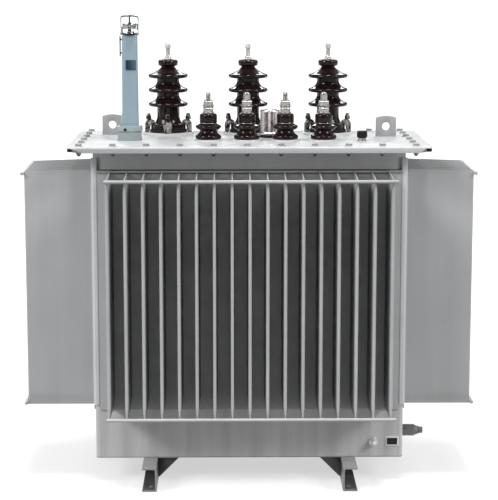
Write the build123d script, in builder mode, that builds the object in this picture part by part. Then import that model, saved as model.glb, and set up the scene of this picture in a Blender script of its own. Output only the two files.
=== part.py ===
"""Oil-filled distribution transformer with a corrugated tank, in millimetres.

The tank stands on two skid channels. A plain trough carries four corrugated
walls whose hollow fins cool the oil, and a bolted cover carries the high and
low voltage bushings, the lifting lugs, the oil gauge and the tap changer.
X runs along the front, Y from front to back and Z up, with the origin on the
floor under the middle of the tank.
"""

import os

from build123d import *

os.makedirs("parts", exist_ok=True)

# Skid channels, with their open sides turned outwards
skid_gauge = 580.0
skid_hole_d = 18.0
skid_hole_from_back = 21.0
skid_hole_from_end = 40.0
skid_height = 70.0
skid_width = 42.0
skid_web = 5.0
skid_flange = 5.0
skid_length = 630.0
gusset_reach = 55.0
gusset_drop = 55.0
gusset_thickness = 6.0
gusset_inset = 10.0

# Tank trough and its four corrugated walls
fin_pitch = 50.0
front_fins = 17
side_fins = 7
corner_margin = 55.0
wall_thickness = 4.0
trough_wall = 5.0
trough_round = 12.0
bottom_plate = 8.0
trough_height = 160.0
seam_lap = 12.0
fin_start = 3.0
fin_height = 690.0
fin_stop = 14.0
front_fin_depth = 157.0
side_fin_depth = 197.0
fin_thickness = 9.0
fin_end_thickness = 3.0
fin_pinch = 30.0
rod_d = 10.0
rod_overhang = 14.0
post_size = 16.0
post_round = 9.0
post_rise = 30.0

# Upper frame, gasket and cover
frame_height = 50.0
frame_wall = 6.0
flange_thickness = 8.0
gasket_thickness = 5.0
cover_thickness = 5.0
cover_overhang_side = 63.0
cover_overhang_front = 57.0
cover_corner = 8.0
lip_drop = 13.0
lip_end_left = 9.0
lip_end_right = 22.0
lip_clip_left = 38.0
lip_clip_right = 16.0
flange_margin = 2.0
flange_clip = 34.0

# High voltage bushings
hv_pitch = 243.5
hv_row = 150.0
hv_pad_r = 74.0
hv_pad_height = 6.0
hv_seat_height = 8.5
hv_base_r = 53.0
hv_base_height = 18.0
hv_body_r = 34.0
hv_ledge = 12.0
hv_shoulder = 16.0
hv_shed_r = 60.0
hv_shed_rim = 11.5
hv_rim_round = 4.5
hv_shed_start = 70.5
hv_shed_pitch = 43.0
hv_shed_slope = 14.5
hv_top_slope = 20.5
hv_shed_sag = 1.0
hv_shed_hollow = 4.0
hv_sheds = 3
hv_neck_r = 20.0
hv_neck_rise = 24.5
hv_cap_r = 30.0
hv_cap_height = 20.0
hv_cap_round = 6.0
hv_stud_r = 6.0
hv_stud_height = 52.0
hv_nut_r = 12.0
hv_nut_height = 10.0
hv_top_nut_r = 9.5
hv_top_nut_height = 12.0
hv_top_nut_lift = 34.0
claw_width = 29.0
claw_wall = 18.0
claw_top = 13.0
claw_slant = 9.0
claw_stud_r = 7.0
claw_stud_height = 18.0

# Low voltage bushings
lv_pitch = 112.5
lv_row = -76.0
lv_row_centre = 50.0
lv_poles = 4
lv_seat_r = 41.0
lv_seat_height = 5.0
lv_base_r = 38.0
lv_base_height = 12.0
lv_waist_r = 24.0
lv_waist_height = 26.0
lv_shed_r = 37.5
lv_shed_height = 31.5
lv_shed_rim = 9.5
lv_neck_r = 23.0
lv_neck_height = 47.0
lv_head_r = 25.5
lv_head_height = 76.0
lv_head_round = 5.0
lv_collar_r = 17.5
lv_collar_height = 23.0
lv_nut_r = 16.5
lv_nut_height = 17.0
lv_stud_r = 8.0
lv_stud_height = 21.0

# Lifting lugs
lug_x = 410.0
lug_left_y = 88.0
lug_right_y = 20.0
lug_width = 60.0
lug_height = 60.0
lug_arch = 5.0
lug_thickness = 16.0
lug_eye_r = 12.0
lug_eye_height = 34.0

# Tap changer cap and thermometer pocket
tap_x = 64.0
tap_y = 36.0
tap_r = 29.5
tap_height = 74.0
tap_rim = 3.0
tap_flange_r = 33.0
tap_flange_height = 6.0
tap_gasket_r = 31.0
tap_gasket_height = 9.0
pocket_x = 332.0
pocket_y = -76.0
pocket_r = 13.0
pocket_height = 9.0
pocket_cap_r = 15.0
pocket_cap_height = 20.0
pocket_cap_chamfer = 2.0

# Oil level gauge on its tall column
gauge_x = -348.0
gauge_y = -46.0
gauge_base_length = 80.0
gauge_base_offset = 1.0
gauge_base_depth = 60.0
gauge_base_height = 42.0
column_foot = 47.0
column_head = 44.0
column_height = 266.0
column_round = 3.0
dome_r = 28.0
dome_wall = 3.0
dome_height = 58.0
dome_chamfer = 7.0
float_r = 19.0
float_thickness = 10.0
float_lift = 14.0
float_stem_r = 2.5
float_stem_height = 48.0

# Drain valve and earth stud
drain_y = 0.0
drain_rise = 28.0
drain_neck_r = 13.0
drain_neck = 16.0
drain_body_r = 18.5
drain_body = 50.0
drain_chamfer = 4.0
drain_cap_r = 12.0
drain_cap_length = 15.0
earth_x = 363.5
earth_rise = 47.0
earth_r = 6.0
earth_length = 26.0

# Clearance between round faces that meet
seat_gap = 0.3

# Levels and overall sizes that follow from the values above
tank_width = (front_fins - 1) * fin_pitch + 2 * corner_margin
tank_depth = (side_fins - 1) * fin_pitch + 2 * corner_margin
tank_floor = skid_height
trough_top = tank_floor + trough_height
panel_bottom = trough_top - seam_lap
fin_bottom = panel_bottom + fin_start
fin_top = fin_bottom + fin_height
panel_top = fin_top + fin_stop
frame_top = panel_top + frame_height
flange_top = frame_top + flange_thickness
gasket_top = flange_top + gasket_thickness
cover_top = gasket_top + cover_thickness
trough_width = tank_width - 2 * wall_thickness
trough_depth = tank_depth - 2 * wall_thickness
cover_width = tank_width + 2 * cover_overhang_side
cover_depth = tank_depth + 2 * cover_overhang_front


def upright(x, y, z):
    """A sketch plane facing the front, with local x along X and local y up."""
    return Plane(origin=(x, y, z), x_dir=(1, 0, 0), z_dir=(0, -1, 0))


def plumb(x, y):
    """The vertical axis of a turned piece that stands at x, y."""
    return Axis((x, y, 0), (0, 0, 1))


def write(builder, name):
    """Label a finished piece and write its STEP file."""
    builder.part.label = name
    export_step(builder.part, f"parts/{name}.step")


# Skid channels and the gussets on their backs
for side, name in ((-1, "left"), (1, "right")):
    skid_back = side * (skid_gauge / 2 - skid_hole_from_back)
    skid_tip = skid_back + side * skid_width
    with BuildPart() as skid:
        with BuildSketch(Plane.XZ.offset(-skid_length / 2)):
            with Locations(((skid_back + skid_tip) / 2, skid_height / 2)):
                Rectangle(skid_width, skid_height)
            with Locations(((skid_back + skid_tip) / 2 + side * skid_web, skid_height / 2)):
                Rectangle(skid_width, skid_height - 2 * skid_flange, mode=Mode.SUBTRACT)
        extrude(amount=skid_length)
        with Locations(Plane.XY.offset(skid_flange)):
            with Locations((side * skid_gauge / 2, 0)):
                with GridLocations(0, skid_length - 2 * skid_hole_from_end, 1, 2):
                    Hole(skid_hole_d / 2, depth=skid_flange)
    write(skid, f"skid_{name}")

    with BuildPart() as gussets:
        for end in (-1, 1):
            gusset_face = end * (trough_depth / 2 - gusset_inset - gusset_thickness / 2)
            with BuildSketch(upright(skid_back, gusset_face, tank_floor)):
                with BuildLine():
                    Polyline((0, 0), (-side * gusset_reach, 0), (0, -gusset_drop), close=True)
                make_face()
            extrude(amount=gusset_thickness / 2, both=True)
    write(gussets, f"skid_gussets_{name}")

# Trough: a bent wall round the tank's foot, with the floor plate let into it
with BuildPart() as trough:
    with BuildSketch(Plane.XY.offset(tank_floor)):
        RectangleRounded(trough_width, trough_depth, trough_round)
        Rectangle(trough_width - 2 * trough_wall, trough_depth - 2 * trough_wall, mode=Mode.SUBTRACT)
    extrude(amount=trough_height)
write(trough, "tank_trough")

with BuildPart() as tank_bottom:
    with BuildSketch(Plane.XY.offset(tank_floor)):
        Rectangle(trough_width - 2 * trough_wall, trough_depth - 2 * trough_wall)
    extrude(amount=bottom_plate)
write(tank_bottom, "tank_bottom")


# Corrugated walls: every fin has a folded round nose and pinched, welded ends
def fin_section(height, thickness, depth):
    """A fin in plan: two flanks from inside the wall sheet to a round nose."""
    nose_r = thickness / 2
    root = wall_thickness / 2
    with BuildSketch(Plane.XY.offset(height)) as section:
        with BuildLine():
            Polyline((-nose_r, nose_r - depth), (-nose_r, root), (nose_r, root), (nose_r, nose_r - depth))
            ThreePointArc((nose_r, nose_r - depth), (0, -depth), (-nose_r, nose_r - depth))
        make_face()
    return section.sketch


def fin(depth):
    """One fin pointing to the front, its root on the Y = 0 plane."""
    levels = (fin_bottom, fin_bottom + fin_pinch, fin_top - fin_pinch, fin_top)
    foot_end = fin_section(levels[0], fin_end_thickness, depth)
    foot = fin_section(levels[1], fin_thickness, depth)
    head = fin_section(levels[2], fin_thickness, depth)
    head_end = fin_section(levels[3], fin_end_thickness, depth)
    with BuildPart() as one_fin:
        loft([foot_end, foot], ruled=True)
        loft([foot, head], ruled=True)
        loft([head, head_end], ruled=True)
    return one_fin.part


front_fin = fin(front_fin_depth)
side_fin = fin(side_fin_depth)
walls = (
    ("front", 0, tank_depth / 2, tank_width, front_fins, front_fin, front_fin_depth),
    ("right", 90, tank_width / 2, tank_depth, side_fins, side_fin, side_fin_depth),
    ("back", 180, tank_depth / 2, tank_width, front_fins, front_fin, front_fin_depth),
    ("left", 270, tank_width / 2, tank_depth, side_fins, side_fin, side_fin_depth),
)
for name, turn, reach, length, fins, one_fin, depth in walls:
    facing = Plane.XY.rotated((0, 0, turn))
    with BuildPart() as wall:
        with BuildSketch(facing.offset(panel_bottom)):
            with Locations((0, wall_thickness / 2 - reach)):
                Rectangle(length - 2 * post_size, wall_thickness)
        extrude(amount=panel_top - panel_bottom)
        with Locations(facing):
            with Locations((0, -reach)):
                with GridLocations(fin_pitch, 0, fins, 1):
                    add(one_fin)
    write(wall, f"{name}_corrugated_wall")

    # Tie rods along the top and bottom corners of the fins
    rod_length = (fins - 1) * fin_pitch + 2 * rod_overhang
    rod_reach = reach + depth + rod_d / 2 + seat_gap
    with BuildPart() as rods:
        for level in (fin_bottom + rod_d / 2, fin_top - rod_d / 2):
            rod_end = (facing * Pos(-rod_length / 2, -rod_reach, level)).position
            with BuildSketch(Plane(origin=rod_end, z_dir=facing.x_dir)):
                Circle(rod_d / 2)
            extrude(amount=rod_length)
    write(rods, f"{name}_fin_rods")

# Round corner posts that close the corners between the walls
for end, row in ((-1, "front"), (1, "back")):
    with BuildPart() as posts:
        for side in (-1, 1):
            corner = ((tank_width - post_size) / 2 * side, (tank_depth - post_size) / 2 * end)
            with BuildSketch(Plane.XY.offset(trough_top)) as section:
                with Locations(corner):
                    Rectangle(post_size, post_size)
                outer = section.vertices().sort_by_distance((tank_width * side, tank_depth * end, trough_top))[0]
                fillet(outer, post_round)
            extrude(amount=panel_top + post_rise - trough_top)
    write(posts, f"{row}_corner_posts")

# Upper frame: a standing band inside the walls with the bolting flange on top
frame_chamfer = 2 * (post_size - wall_thickness) + 1
flange_width = cover_width - 2 * flange_margin
flange_depth = cover_depth - 2 * cover_thickness - 2 * seat_gap
mouth_width = trough_width - 2 * frame_wall
mouth_depth = trough_depth - 2 * frame_wall
with BuildPart() as upper_frame:
    with BuildSketch(Plane.XY.offset(panel_top - seam_lap)) as band:
        Rectangle(trough_width, trough_depth)
        chamfer(band.vertices(), frame_chamfer)
        offset(amount=-frame_wall, mode=Mode.SUBTRACT)
    extrude(amount=frame_height + seam_lap)
    with BuildSketch(Plane.XY.offset(frame_top)) as flange:
        Rectangle(flange_width, flange_depth)
        chamfer(flange.vertices(), flange_clip)
        with BuildSketch(mode=Mode.SUBTRACT) as mouth:
            Rectangle(mouth_width, mouth_depth)
            chamfer(mouth.vertices(), frame_chamfer)
    extrude(amount=flange_thickness)
write(upper_frame, "upper_frame")

with BuildPart() as cover_gasket:
    with BuildSketch(Plane.XY.offset(flange_top)):
        Rectangle(flange_width, flange_depth)
        Rectangle(mouth_width, mouth_depth, mode=Mode.SUBTRACT)
    extrude(amount=gasket_thickness)
write(cover_gasket, "cover_gasket")

# Cover: a plate with a turned-down lip along its front and back, clipped at the ends
with BuildPart() as cover:
    with BuildSketch(Plane.XY.offset(gasket_top)):
        RectangleRounded(cover_width, cover_depth, cover_corner)
    extrude(amount=cover_thickness)
    lip_left = lip_end_left - cover_width / 2
    lip_right = cover_width / 2 - lip_end_right
    for end in (-1, 1):
        lip_face = end * (cover_depth / 2 - cover_thickness / 2)
        with BuildSketch(upright(0, lip_face, gasket_top)):
            with BuildLine():
                Polyline(
                    (lip_left, 0),
                    (lip_right, 0),
                    (lip_right - lip_clip_right, -lip_drop),
                    (lip_left + lip_clip_left, -lip_drop),
                    close=True,
                )
            make_face()
        extrude(amount=cover_thickness / 2, both=True)
write(cover, "cover_plate")

# Lifting lugs: upright plates with an arched top and a round eye
for side, name, lug_y in ((-1, "left", lug_left_y), (1, "right", lug_right_y)):
    lug_half = lug_width / 2
    with BuildPart() as lug:
        with BuildSketch(upright(side * lug_x, lug_y, cover_top)):
            with BuildLine():
                Polyline((-lug_half, lug_height), (-lug_half, 0), (lug_half, 0), (lug_half, lug_height))
                ThreePointArc((lug_half, lug_height), (0, lug_height + lug_arch), (-lug_half, lug_height))
            make_face()
            with Locations((0, lug_eye_height)):
                Circle(lug_eye_r, mode=Mode.SUBTRACT)
        extrude(amount=lug_thickness / 2, both=True)
    write(lug, f"lifting_lug_{name}")

# Welded seats on the cover: a round pad under each tall bushing, a ring under each squat one
with BuildPart() as seats:
    with BuildSketch(Plane((0, hv_row, cover_top))):
        with GridLocations(hv_pitch, 0, 3, 1):
            Circle(hv_pad_r)
    extrude(amount=hv_pad_height)
    with BuildSketch(Plane((lv_row_centre, lv_row, cover_top))):
        with GridLocations(lv_pitch, 0, lv_poles, 1):
            Circle(lv_seat_r)
    extrude(amount=lv_seat_height)
write(seats, "bushing_seats")

# High voltage bushings: turned porcelain with sheds, held down by four claws
hv_pad_top = cover_top + hv_pad_height
hv_foot = hv_pad_top + hv_seat_height
hv_last_shed = hv_shed_start + (hv_sheds - 1) * hv_shed_pitch
hv_cap_foot = hv_last_shed + hv_shed_rim + hv_neck_rise
hv_height = hv_cap_foot + hv_cap_height
shed_outline = []
for shed in range(hv_sheds):
    last_shed = shed == hv_sheds - 1
    crown_r = hv_neck_r if last_shed else hv_body_r
    slope = hv_top_slope if last_shed else hv_shed_slope
    shed_foot = hv_shed_start + shed * hv_shed_pitch
    rim_top = shed_foot + hv_shed_rim
    rim_r = hv_shed_r - hv_rim_round
    shed_outline += [
        (hv_body_r, shed_foot + hv_shed_hollow),
        (rim_r, shed_foot),
        (hv_shed_r, shed_foot + hv_rim_round),
        (hv_shed_r, rim_top - hv_rim_round),
        (rim_r, rim_top),
        ((rim_r + crown_r) / 2, rim_top + slope / 2 - hv_shed_sag),
        (crown_r, rim_top + slope),
    ]

for phase in range(3):
    hv_x = (phase - 1) * hv_pitch
    with BuildPart() as porcelain:
        with BuildSketch(upright(hv_x, hv_row, hv_foot)):
            with BuildLine():
                Polyline(
                    (0, 0),
                    (hv_base_r, 0),
                    (hv_base_r, hv_base_height),
                    (hv_base_r - hv_ledge, hv_base_height),
                    (hv_body_r, hv_base_height + hv_shoulder),
                    *shed_outline,
                    (hv_neck_r, hv_cap_foot),
                    (hv_cap_r, hv_cap_foot),
                    (hv_cap_r, hv_height - hv_cap_round),
                    (hv_cap_r - hv_cap_round, hv_height),
                    (0, hv_height),
                    close=True,
                )
            make_face()
        revolve(axis=plumb(hv_x, hv_row))
    write(porcelain, f"hv_bushing_{phase + 1}")

    with BuildPart() as terminal:
        with BuildSketch(Plane((hv_x, hv_row, hv_foot + hv_height))):
            RegularPolygon(hv_nut_r, 6)
        extrude(amount=hv_nut_height)
        with BuildSketch(Plane((hv_x, hv_row, hv_foot + hv_height))):
            Circle(hv_stud_r)
        extrude(amount=hv_stud_height)
        with BuildSketch(Plane((hv_x, hv_row, hv_foot + hv_height + hv_top_nut_lift))):
            RegularPolygon(hv_top_nut_r, 6)
        extrude(amount=hv_top_nut_height)
    write(terminal, f"hv_terminal_{phase + 1}")

    claw_inner = hv_base_r + seat_gap
    claw_outer = claw_inner + claw_wall
    claw_nose = claw_inner - hv_ledge + seat_gap
    claw_foot = Plane((hv_x, hv_row, hv_pad_top))
    claw_hook = hv_seat_height + hv_base_height + seat_gap
    claw_height = claw_hook + claw_top
    claw_shoulder = claw_height - claw_slant
    with BuildPart() as clamp:
        with BuildSketch(claw_foot):
            Circle(claw_inner + claw_wall / 2)
        extrude(amount=hv_seat_height)
        for out_x, out_y in ((1, 0), (0, 1), (-1, 0), (0, -1)):
            with BuildSketch(Plane((hv_x, hv_row, hv_pad_top), (out_x, out_y, 0), (out_y, -out_x, 0))):
                with BuildLine():
                    Polyline(
                        (claw_inner, 0),
                        (claw_outer, 0),
                        (claw_outer, claw_shoulder),
                        (claw_outer - claw_slant, claw_height),
                        (claw_inner, claw_height),
                        (claw_nose, claw_height - claw_slant / 2),
                        (claw_nose, claw_hook),
                        (claw_inner, claw_hook),
                        close=True,
                    )
                make_face()
            extrude(amount=claw_width / 2, both=True)
        with BuildSketch(claw_foot.offset(claw_shoulder)):
            with PolarLocations(claw_inner + claw_wall / 2, 4):
                Circle(claw_stud_r)
        extrude(amount=claw_slant + claw_stud_height)
    write(clamp, f"hv_clamp_{phase + 1}")

# Low voltage bushings: squat porcelain with a bell foot, one shed and a round head
lv_foot = cover_top + lv_seat_height
for pole in range(lv_poles):
    lv_x = lv_row_centre + (pole - (lv_poles - 1) / 2) * lv_pitch
    with BuildPart() as porcelain:
        with BuildSketch(upright(lv_x, lv_row, lv_foot)):
            with BuildLine():
                Polyline(
                    (0, 0),
                    (lv_base_r, 0),
                    (lv_base_r, lv_base_height),
                    (lv_waist_r, lv_waist_height),
                    (lv_shed_r, lv_shed_height),
                    (lv_shed_r, lv_shed_height + lv_shed_rim),
                    (lv_neck_r, lv_neck_height),
                    (lv_head_r, lv_neck_height + lv_head_round),
                    (lv_head_r, lv_head_height - lv_head_round),
                    (lv_head_r - lv_head_round, lv_head_height),
                    (0, lv_head_height),
                    close=True,
                )
            make_face()
        revolve(axis=plumb(lv_x, lv_row))
    write(porcelain, f"lv_bushing_{pole + 1}")

    with BuildPart() as terminal:
        lv_head = Plane((lv_x, lv_row, lv_foot + lv_head_height))
        with BuildSketch(lv_head):
            Circle(lv_collar_r)
        extrude(amount=lv_collar_height)
        with BuildSketch(lv_head.offset(lv_collar_height)):
            RegularPolygon(lv_nut_r, 6)
        extrude(amount=lv_nut_height)
        with BuildSketch(lv_head.offset(lv_collar_height + lv_nut_height)):
            Circle(lv_stud_r)
        extrude(amount=lv_stud_height)
    write(terminal, f"lv_terminal_{pole + 1}")

# Tap changer: a bright cap on a dark gasket
with BuildPart() as tap_gasket:
    with BuildSketch(Plane((tap_x, tap_y, cover_top))):
        Circle(tap_gasket_r)
    extrude(amount=tap_gasket_height)
write(tap_gasket, "tap_changer_gasket")

tap_foot = Plane((tap_x, tap_y, cover_top + tap_gasket_height))
with BuildPart() as tap_cap:
    with BuildSketch(tap_foot):
        Circle(tap_flange_r)
    extrude(amount=tap_flange_height)
    with BuildSketch(tap_foot):
        Circle(tap_r)
    extrude(amount=tap_height)
    chamfer(tap_cap.edges().group_by(Axis.Z)[-1], tap_rim)
write(tap_cap, "tap_changer_cap")

# Thermometer pocket with its cap
with BuildPart() as pocket:
    with BuildSketch(Plane((pocket_x, pocket_y, cover_top))):
        Circle(pocket_r)
    extrude(amount=pocket_height)
write(pocket, "thermometer_pocket")

with BuildPart() as pocket_cap:
    with BuildSketch(Plane((pocket_x, pocket_y, cover_top + pocket_height))):
        Circle(pocket_cap_r)
    extrude(amount=pocket_cap_height)
    chamfer(pocket_cap.edges().group_by(Axis.Z)[-1], pocket_cap_chamfer)
write(pocket_cap, "thermometer_cap")

# Oil gauge: a foot block round at one end, a tapered column and a clear dome
gauge_base_round = gauge_base_depth / 2
with BuildPart() as gauge_base:
    with BuildSketch(Plane((gauge_x + gauge_base_offset, gauge_y, cover_top))):
        with Locations((-gauge_base_round / 2, 0)):
            Rectangle(gauge_base_length - gauge_base_round, gauge_base_depth)
        with Locations((gauge_base_length / 2 - gauge_base_round, 0)):
            Circle(gauge_base_round)
    extrude(amount=gauge_base_height)
write(gauge_base, "gauge_base")

column_foot_plane = Plane((gauge_x, gauge_y, cover_top + gauge_base_height))
column_head_plane = column_foot_plane.offset(column_height)
with BuildPart() as gauge_column:
    with BuildSketch(column_foot_plane):
        RectangleRounded(column_foot, column_foot, column_round)
    with BuildSketch(column_head_plane):
        RectangleRounded(column_head, column_head, column_round)
    loft(ruled=True)
write(gauge_column, "gauge_column")

with BuildPart() as gauge_dome:
    with BuildSketch(column_head_plane):
        Circle(dome_r)
    extrude(amount=dome_height)
    chamfer(gauge_dome.edges().group_by(Axis.Z)[-1], dome_chamfer)
    with BuildSketch(column_head_plane):
        Circle(dome_r - dome_wall)
    extrude(amount=dome_height - dome_wall - dome_chamfer, mode=Mode.SUBTRACT)
write(gauge_dome, "gauge_dome")

with BuildPart() as gauge_float:
    with BuildSketch(column_head_plane):
        Circle(float_stem_r)
    extrude(amount=float_stem_height)
    with BuildSketch(column_head_plane.offset(float_lift)):
        Circle(float_r)
    extrude(amount=float_thickness)
write(gauge_float, "gauge_float")

# Drain valve on the right end of the trough
drain_root = Plane(origin=(trough_width / 2, drain_y, tank_floor + drain_rise), x_dir=(0, 1, 0), z_dir=(1, 0, 0))
with BuildPart() as drain_valve:
    with BuildSketch(drain_root):
        Circle(drain_neck_r)
    extrude(amount=drain_neck)
    with BuildSketch(drain_root.offset(drain_neck)):
        RegularPolygon(drain_body_r, 6, rotation=30)
    extrude(amount=drain_body)
    chamfer(drain_valve.edges().group_by(Axis.X)[-1], drain_chamfer)
write(drain_valve, "drain_valve")

with BuildPart() as drain_cap:
    with BuildSketch(drain_root.offset(drain_neck + drain_body)):
        RegularPolygon(drain_cap_r, 6, rotation=30)
    extrude(amount=drain_cap_length)
write(drain_cap, "drain_cap")

# Earth stud on the front of the trough
with BuildPart() as earth_stud:
    with BuildSketch(upright(earth_x, -trough_depth / 2, tank_floor + earth_rise)):
        Circle(earth_r)
    extrude(amount=earth_length)
write(earth_stud, "earth_stud")
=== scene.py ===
# %% [markdown]
# A sealed oil-filled transformer stands on two skids. The imported CAD model is the
# skeleton: it says where every piece is and how big it is. This lesson dresses it,
# piece by piece, with the roundings, folds, welds, bolts and finishes of a real one.

# %% load the CAD frame
import math
from contextlib import contextmanager

import bmesh
import bpy
from mathutils import Matrix, Vector


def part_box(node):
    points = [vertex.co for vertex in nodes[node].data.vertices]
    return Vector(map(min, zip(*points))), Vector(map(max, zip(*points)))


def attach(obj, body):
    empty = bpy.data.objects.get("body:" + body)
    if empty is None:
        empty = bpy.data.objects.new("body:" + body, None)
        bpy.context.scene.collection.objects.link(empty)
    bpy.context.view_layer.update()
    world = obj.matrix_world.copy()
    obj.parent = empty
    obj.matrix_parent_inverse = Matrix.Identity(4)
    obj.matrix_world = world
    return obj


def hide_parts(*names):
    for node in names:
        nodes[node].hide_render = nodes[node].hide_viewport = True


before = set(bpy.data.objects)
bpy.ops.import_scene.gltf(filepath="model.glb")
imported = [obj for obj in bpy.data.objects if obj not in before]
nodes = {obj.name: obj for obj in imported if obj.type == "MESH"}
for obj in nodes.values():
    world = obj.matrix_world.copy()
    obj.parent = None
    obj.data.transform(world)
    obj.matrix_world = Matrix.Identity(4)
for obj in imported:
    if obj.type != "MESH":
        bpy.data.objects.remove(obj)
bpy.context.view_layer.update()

# %% [markdown]
# The camera comes first, because every choice after it is judged through it. The lens,
# place and tilt were solved from points that are easy to find in a picture: the fins,
# the tank's corners and the cover's bolts. A long lens from five metres away keeps the
# fins nearly parallel, as they would look to somebody across the yard.

# %% camera
IMAGE_WIDTH, FOCAL_PIXELS, SENSOR_WIDTH = 498, 1723.2, 36.0
CAMERA_AT, LOOK_DOWN, LOOK_RIGHT = (-0.0601, -5.1167, 1.474), 0.15847, 0.01195
FLOOR_SIZE = 500.0
camera_data = bpy.data.cameras.new("camera")
camera_data.sensor_fit = "HORIZONTAL"
camera_data.sensor_width = SENSOR_WIDTH
camera_data.lens = SENSOR_WIDTH * FOCAL_PIXELS / IMAGE_WIDTH
camera_data.clip_end = 1.2 * FLOOR_SIZE
camera = bpy.data.objects.new("camera", camera_data)
camera.location = CAMERA_AT
camera.rotation_euler = (math.pi / 2 - LOOK_DOWN, 0.0, -LOOK_RIGHT)
bpy.context.scene.collection.objects.link(camera)
bpy.context.scene.camera = camera
print("lens", round(camera_data.lens, 1), "mm")

# %% [markdown]
# The light is that of a bright hall: a soft grey room with pale walls far out to the left
# and right. Behind is a long row of window panes above a dark sill: glazed porcelain mirrors
# it, and that gives each shed its dark outline and its white crescents. The room is drawn
# with a few nodes in the world, from the direction of each ray. Small helpers add a node
# with its settings and links, because the finishes below need many of them.

# %% world
bpy.context.scene.view_settings.view_transform = "Standard"


def feed(tree, node, inputs):
    """Give a node its inputs: each is a plain value or another node's output."""
    for key, value in dict(inputs).items():
        if isinstance(value, bpy.types.NodeSocket):
            tree.links.new(value, node.inputs[key])
        else:
            node.inputs[key].default_value = value


def put(tree, kind, settings=(), inputs=()):
    """Add one shader node with its settings and inputs."""
    made = tree.nodes.new(kind)
    for key, value in dict(settings).items():
        setattr(made, key, value)
    feed(tree, made, inputs)
    return made


def ramp(tree, factor, stops):
    """A colour ramp from (place, colour) stops."""
    made = put(tree, "ShaderNodeValToRGB", inputs={"Fac": factor})
    marks = made.color_ramp.elements
    while len(marks) < len(stops):
        marks.new(0.5)
    for mark, (place, colour) in zip(marks, stops):
        mark.position = place
        mark.color = (*colour, 1.0)
    return made.outputs["Color"]


def remap(tree, value, low, high, new_low, new_high):
    """Stretch the part of a value between low and high to a new span, clamped."""
    inputs = {"Value": value, "From Min": low, "From Max": high, "To Min": new_low, "To Max": new_high}
    return put(tree, "ShaderNodeMapRange", inputs=inputs).outputs["Result"]


def calc(tree, operation, a, b=0.0):
    """One sum on two values."""
    return put(tree, "ShaderNodeMath", {"operation": operation}, {0: a, 1: b}).outputs[0]


def product(tree, *masks):
    """Several values multiplied."""
    result = masks[0]
    for mask in masks[1:]:
        result = calc(tree, "MULTIPLY", result, mask)
    return result


def vectors(tree, operation, a, b, output=0):
    """One sum on two vectors or colours."""
    return put(tree, "ShaderNodeVectorMath", {"operation": operation}, {0: a, 1: b}).outputs[output]


ROOM_SHADES = [(0.0, (0.26, 0.26, 0.26)), (0.3, (0.33, 0.33, 0.335)), (1.0, (0.42, 0.42, 0.43))]
SILL_BACK, SILL_TOP, SILL_SHADE = (0.3, 0.6), (0.26, 0.34), 0.1
PANES_FOOT, PANES_HEAD, PANES_SIDE, PANES_BACK = (0.32, 0.37), (0.48, 0.54), (0.25, 0.33), (0.4, 0.7)
WALLS_SIDE, WALL_GLOW, PANE_GLOW = (0.74, 0.94), 0.55, 7.0
world = bpy.data.worlds.new("hall")
world.use_nodes = True
sky = world.node_tree
sky_direction = put(sky, "ShaderNodeTexCoord").outputs["Generated"]
sky_axes = put(sky, "ShaderNodeSeparateXYZ", inputs={"Vector": sky_direction}).outputs
sky_height, sky_back = sky_axes["Z"], sky_axes["Y"]
sideways = calc(sky, "ABSOLUTE", sky_axes["X"])
above_sill = remap(sky, sky_height, *SILL_TOP, 0.0, 1.0)
sill = calc(sky, "MAXIMUM", remap(sky, sky_back, *SILL_BACK, 1.0, SILL_SHADE), above_sill)
room = vectors(sky, "MULTIPLY", ramp(sky, sky_height, ROOM_SHADES), sill)
panes = product(
    sky,
    remap(sky, sky_height, *PANES_FOOT, 0.0, 1.0), remap(sky, sky_height, *PANES_HEAD, 1.0, 0.0),
    remap(sky, sideways, *PANES_SIDE, 1.0, 0.0), remap(sky, sky_back, *PANES_BACK, 0.0, PANE_GLOW),
)
side_walls = remap(sky, sideways, *WALLS_SIDE, 0.0, WALL_GLOW)
hall = vectors(sky, "ADD", room, calc(sky, "MAXIMUM", side_walls, panes))
sky.links.new(hall, sky.nodes["Background"].inputs["Color"])
bpy.context.scene.world = world
print("world", world.name, "nodes", len(sky.nodes))

# %% [markdown]
# The floor is white to the eye and to mirrors, but it throws back only a little light, so
# the tank isn't lit from below. It keeps the shadow. Light Path tells these rays apart, in
# the floor's own material.

# %% floor
bpy.ops.object.select_all(action="DESELECT")
bpy.ops.mesh.primitive_plane_add(size=FLOOR_SIZE, location=(0.0, 0.0, 0.0))
floor = bpy.context.object
floor.name = "floor"
floor_finish = bpy.data.materials.new("floor")
floor_finish.use_nodes = True
tree = floor_finish.node_tree
tree.nodes.remove(tree.nodes["Principled BSDF"])
rays = put(tree, "ShaderNodeLightPath").outputs
seen = calc(tree, "MAXIMUM", rays["Is Camera Ray"], rays["Is Glossy Ray"])
seen = calc(tree, "MAXIMUM", seen, rays["Is Transmission Ray"])
dim = put(tree, "ShaderNodeBsdfDiffuse", inputs={"Color": (0.2, 0.2, 0.2, 1.0)})
white = put(tree, "ShaderNodeBsdfDiffuse", inputs={"Color": (0.95, 0.95, 0.95, 1.0)})
glow = put(tree, "ShaderNodeEmission", inputs={"Color": (1.0, 1.0, 1.0, 1.0), "Strength": 1.0})
white = put(tree, "ShaderNodeMixShader", inputs={0: 0.6, 1: white.outputs[0], 2: glow.outputs[0]})
both = put(tree, "ShaderNodeMixShader", inputs={0: seen, 1: dim.outputs[0], 2: white.outputs[0]})
tree.links.new(both.outputs[0], tree.nodes["Material Output"].inputs["Surface"])
floor.data.materials.append(floor_finish)
print("floor", FLOOR_SIZE, "m wide")

# %% [markdown]
# A broad lamp shines from each front corner, and light comes down from the roof. The two
# lamps are well to the sides, so the slots between the fins stay dark, while the noses
# catch them. Sun lamps with a wide angle do that evenly over the whole tank.

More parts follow.
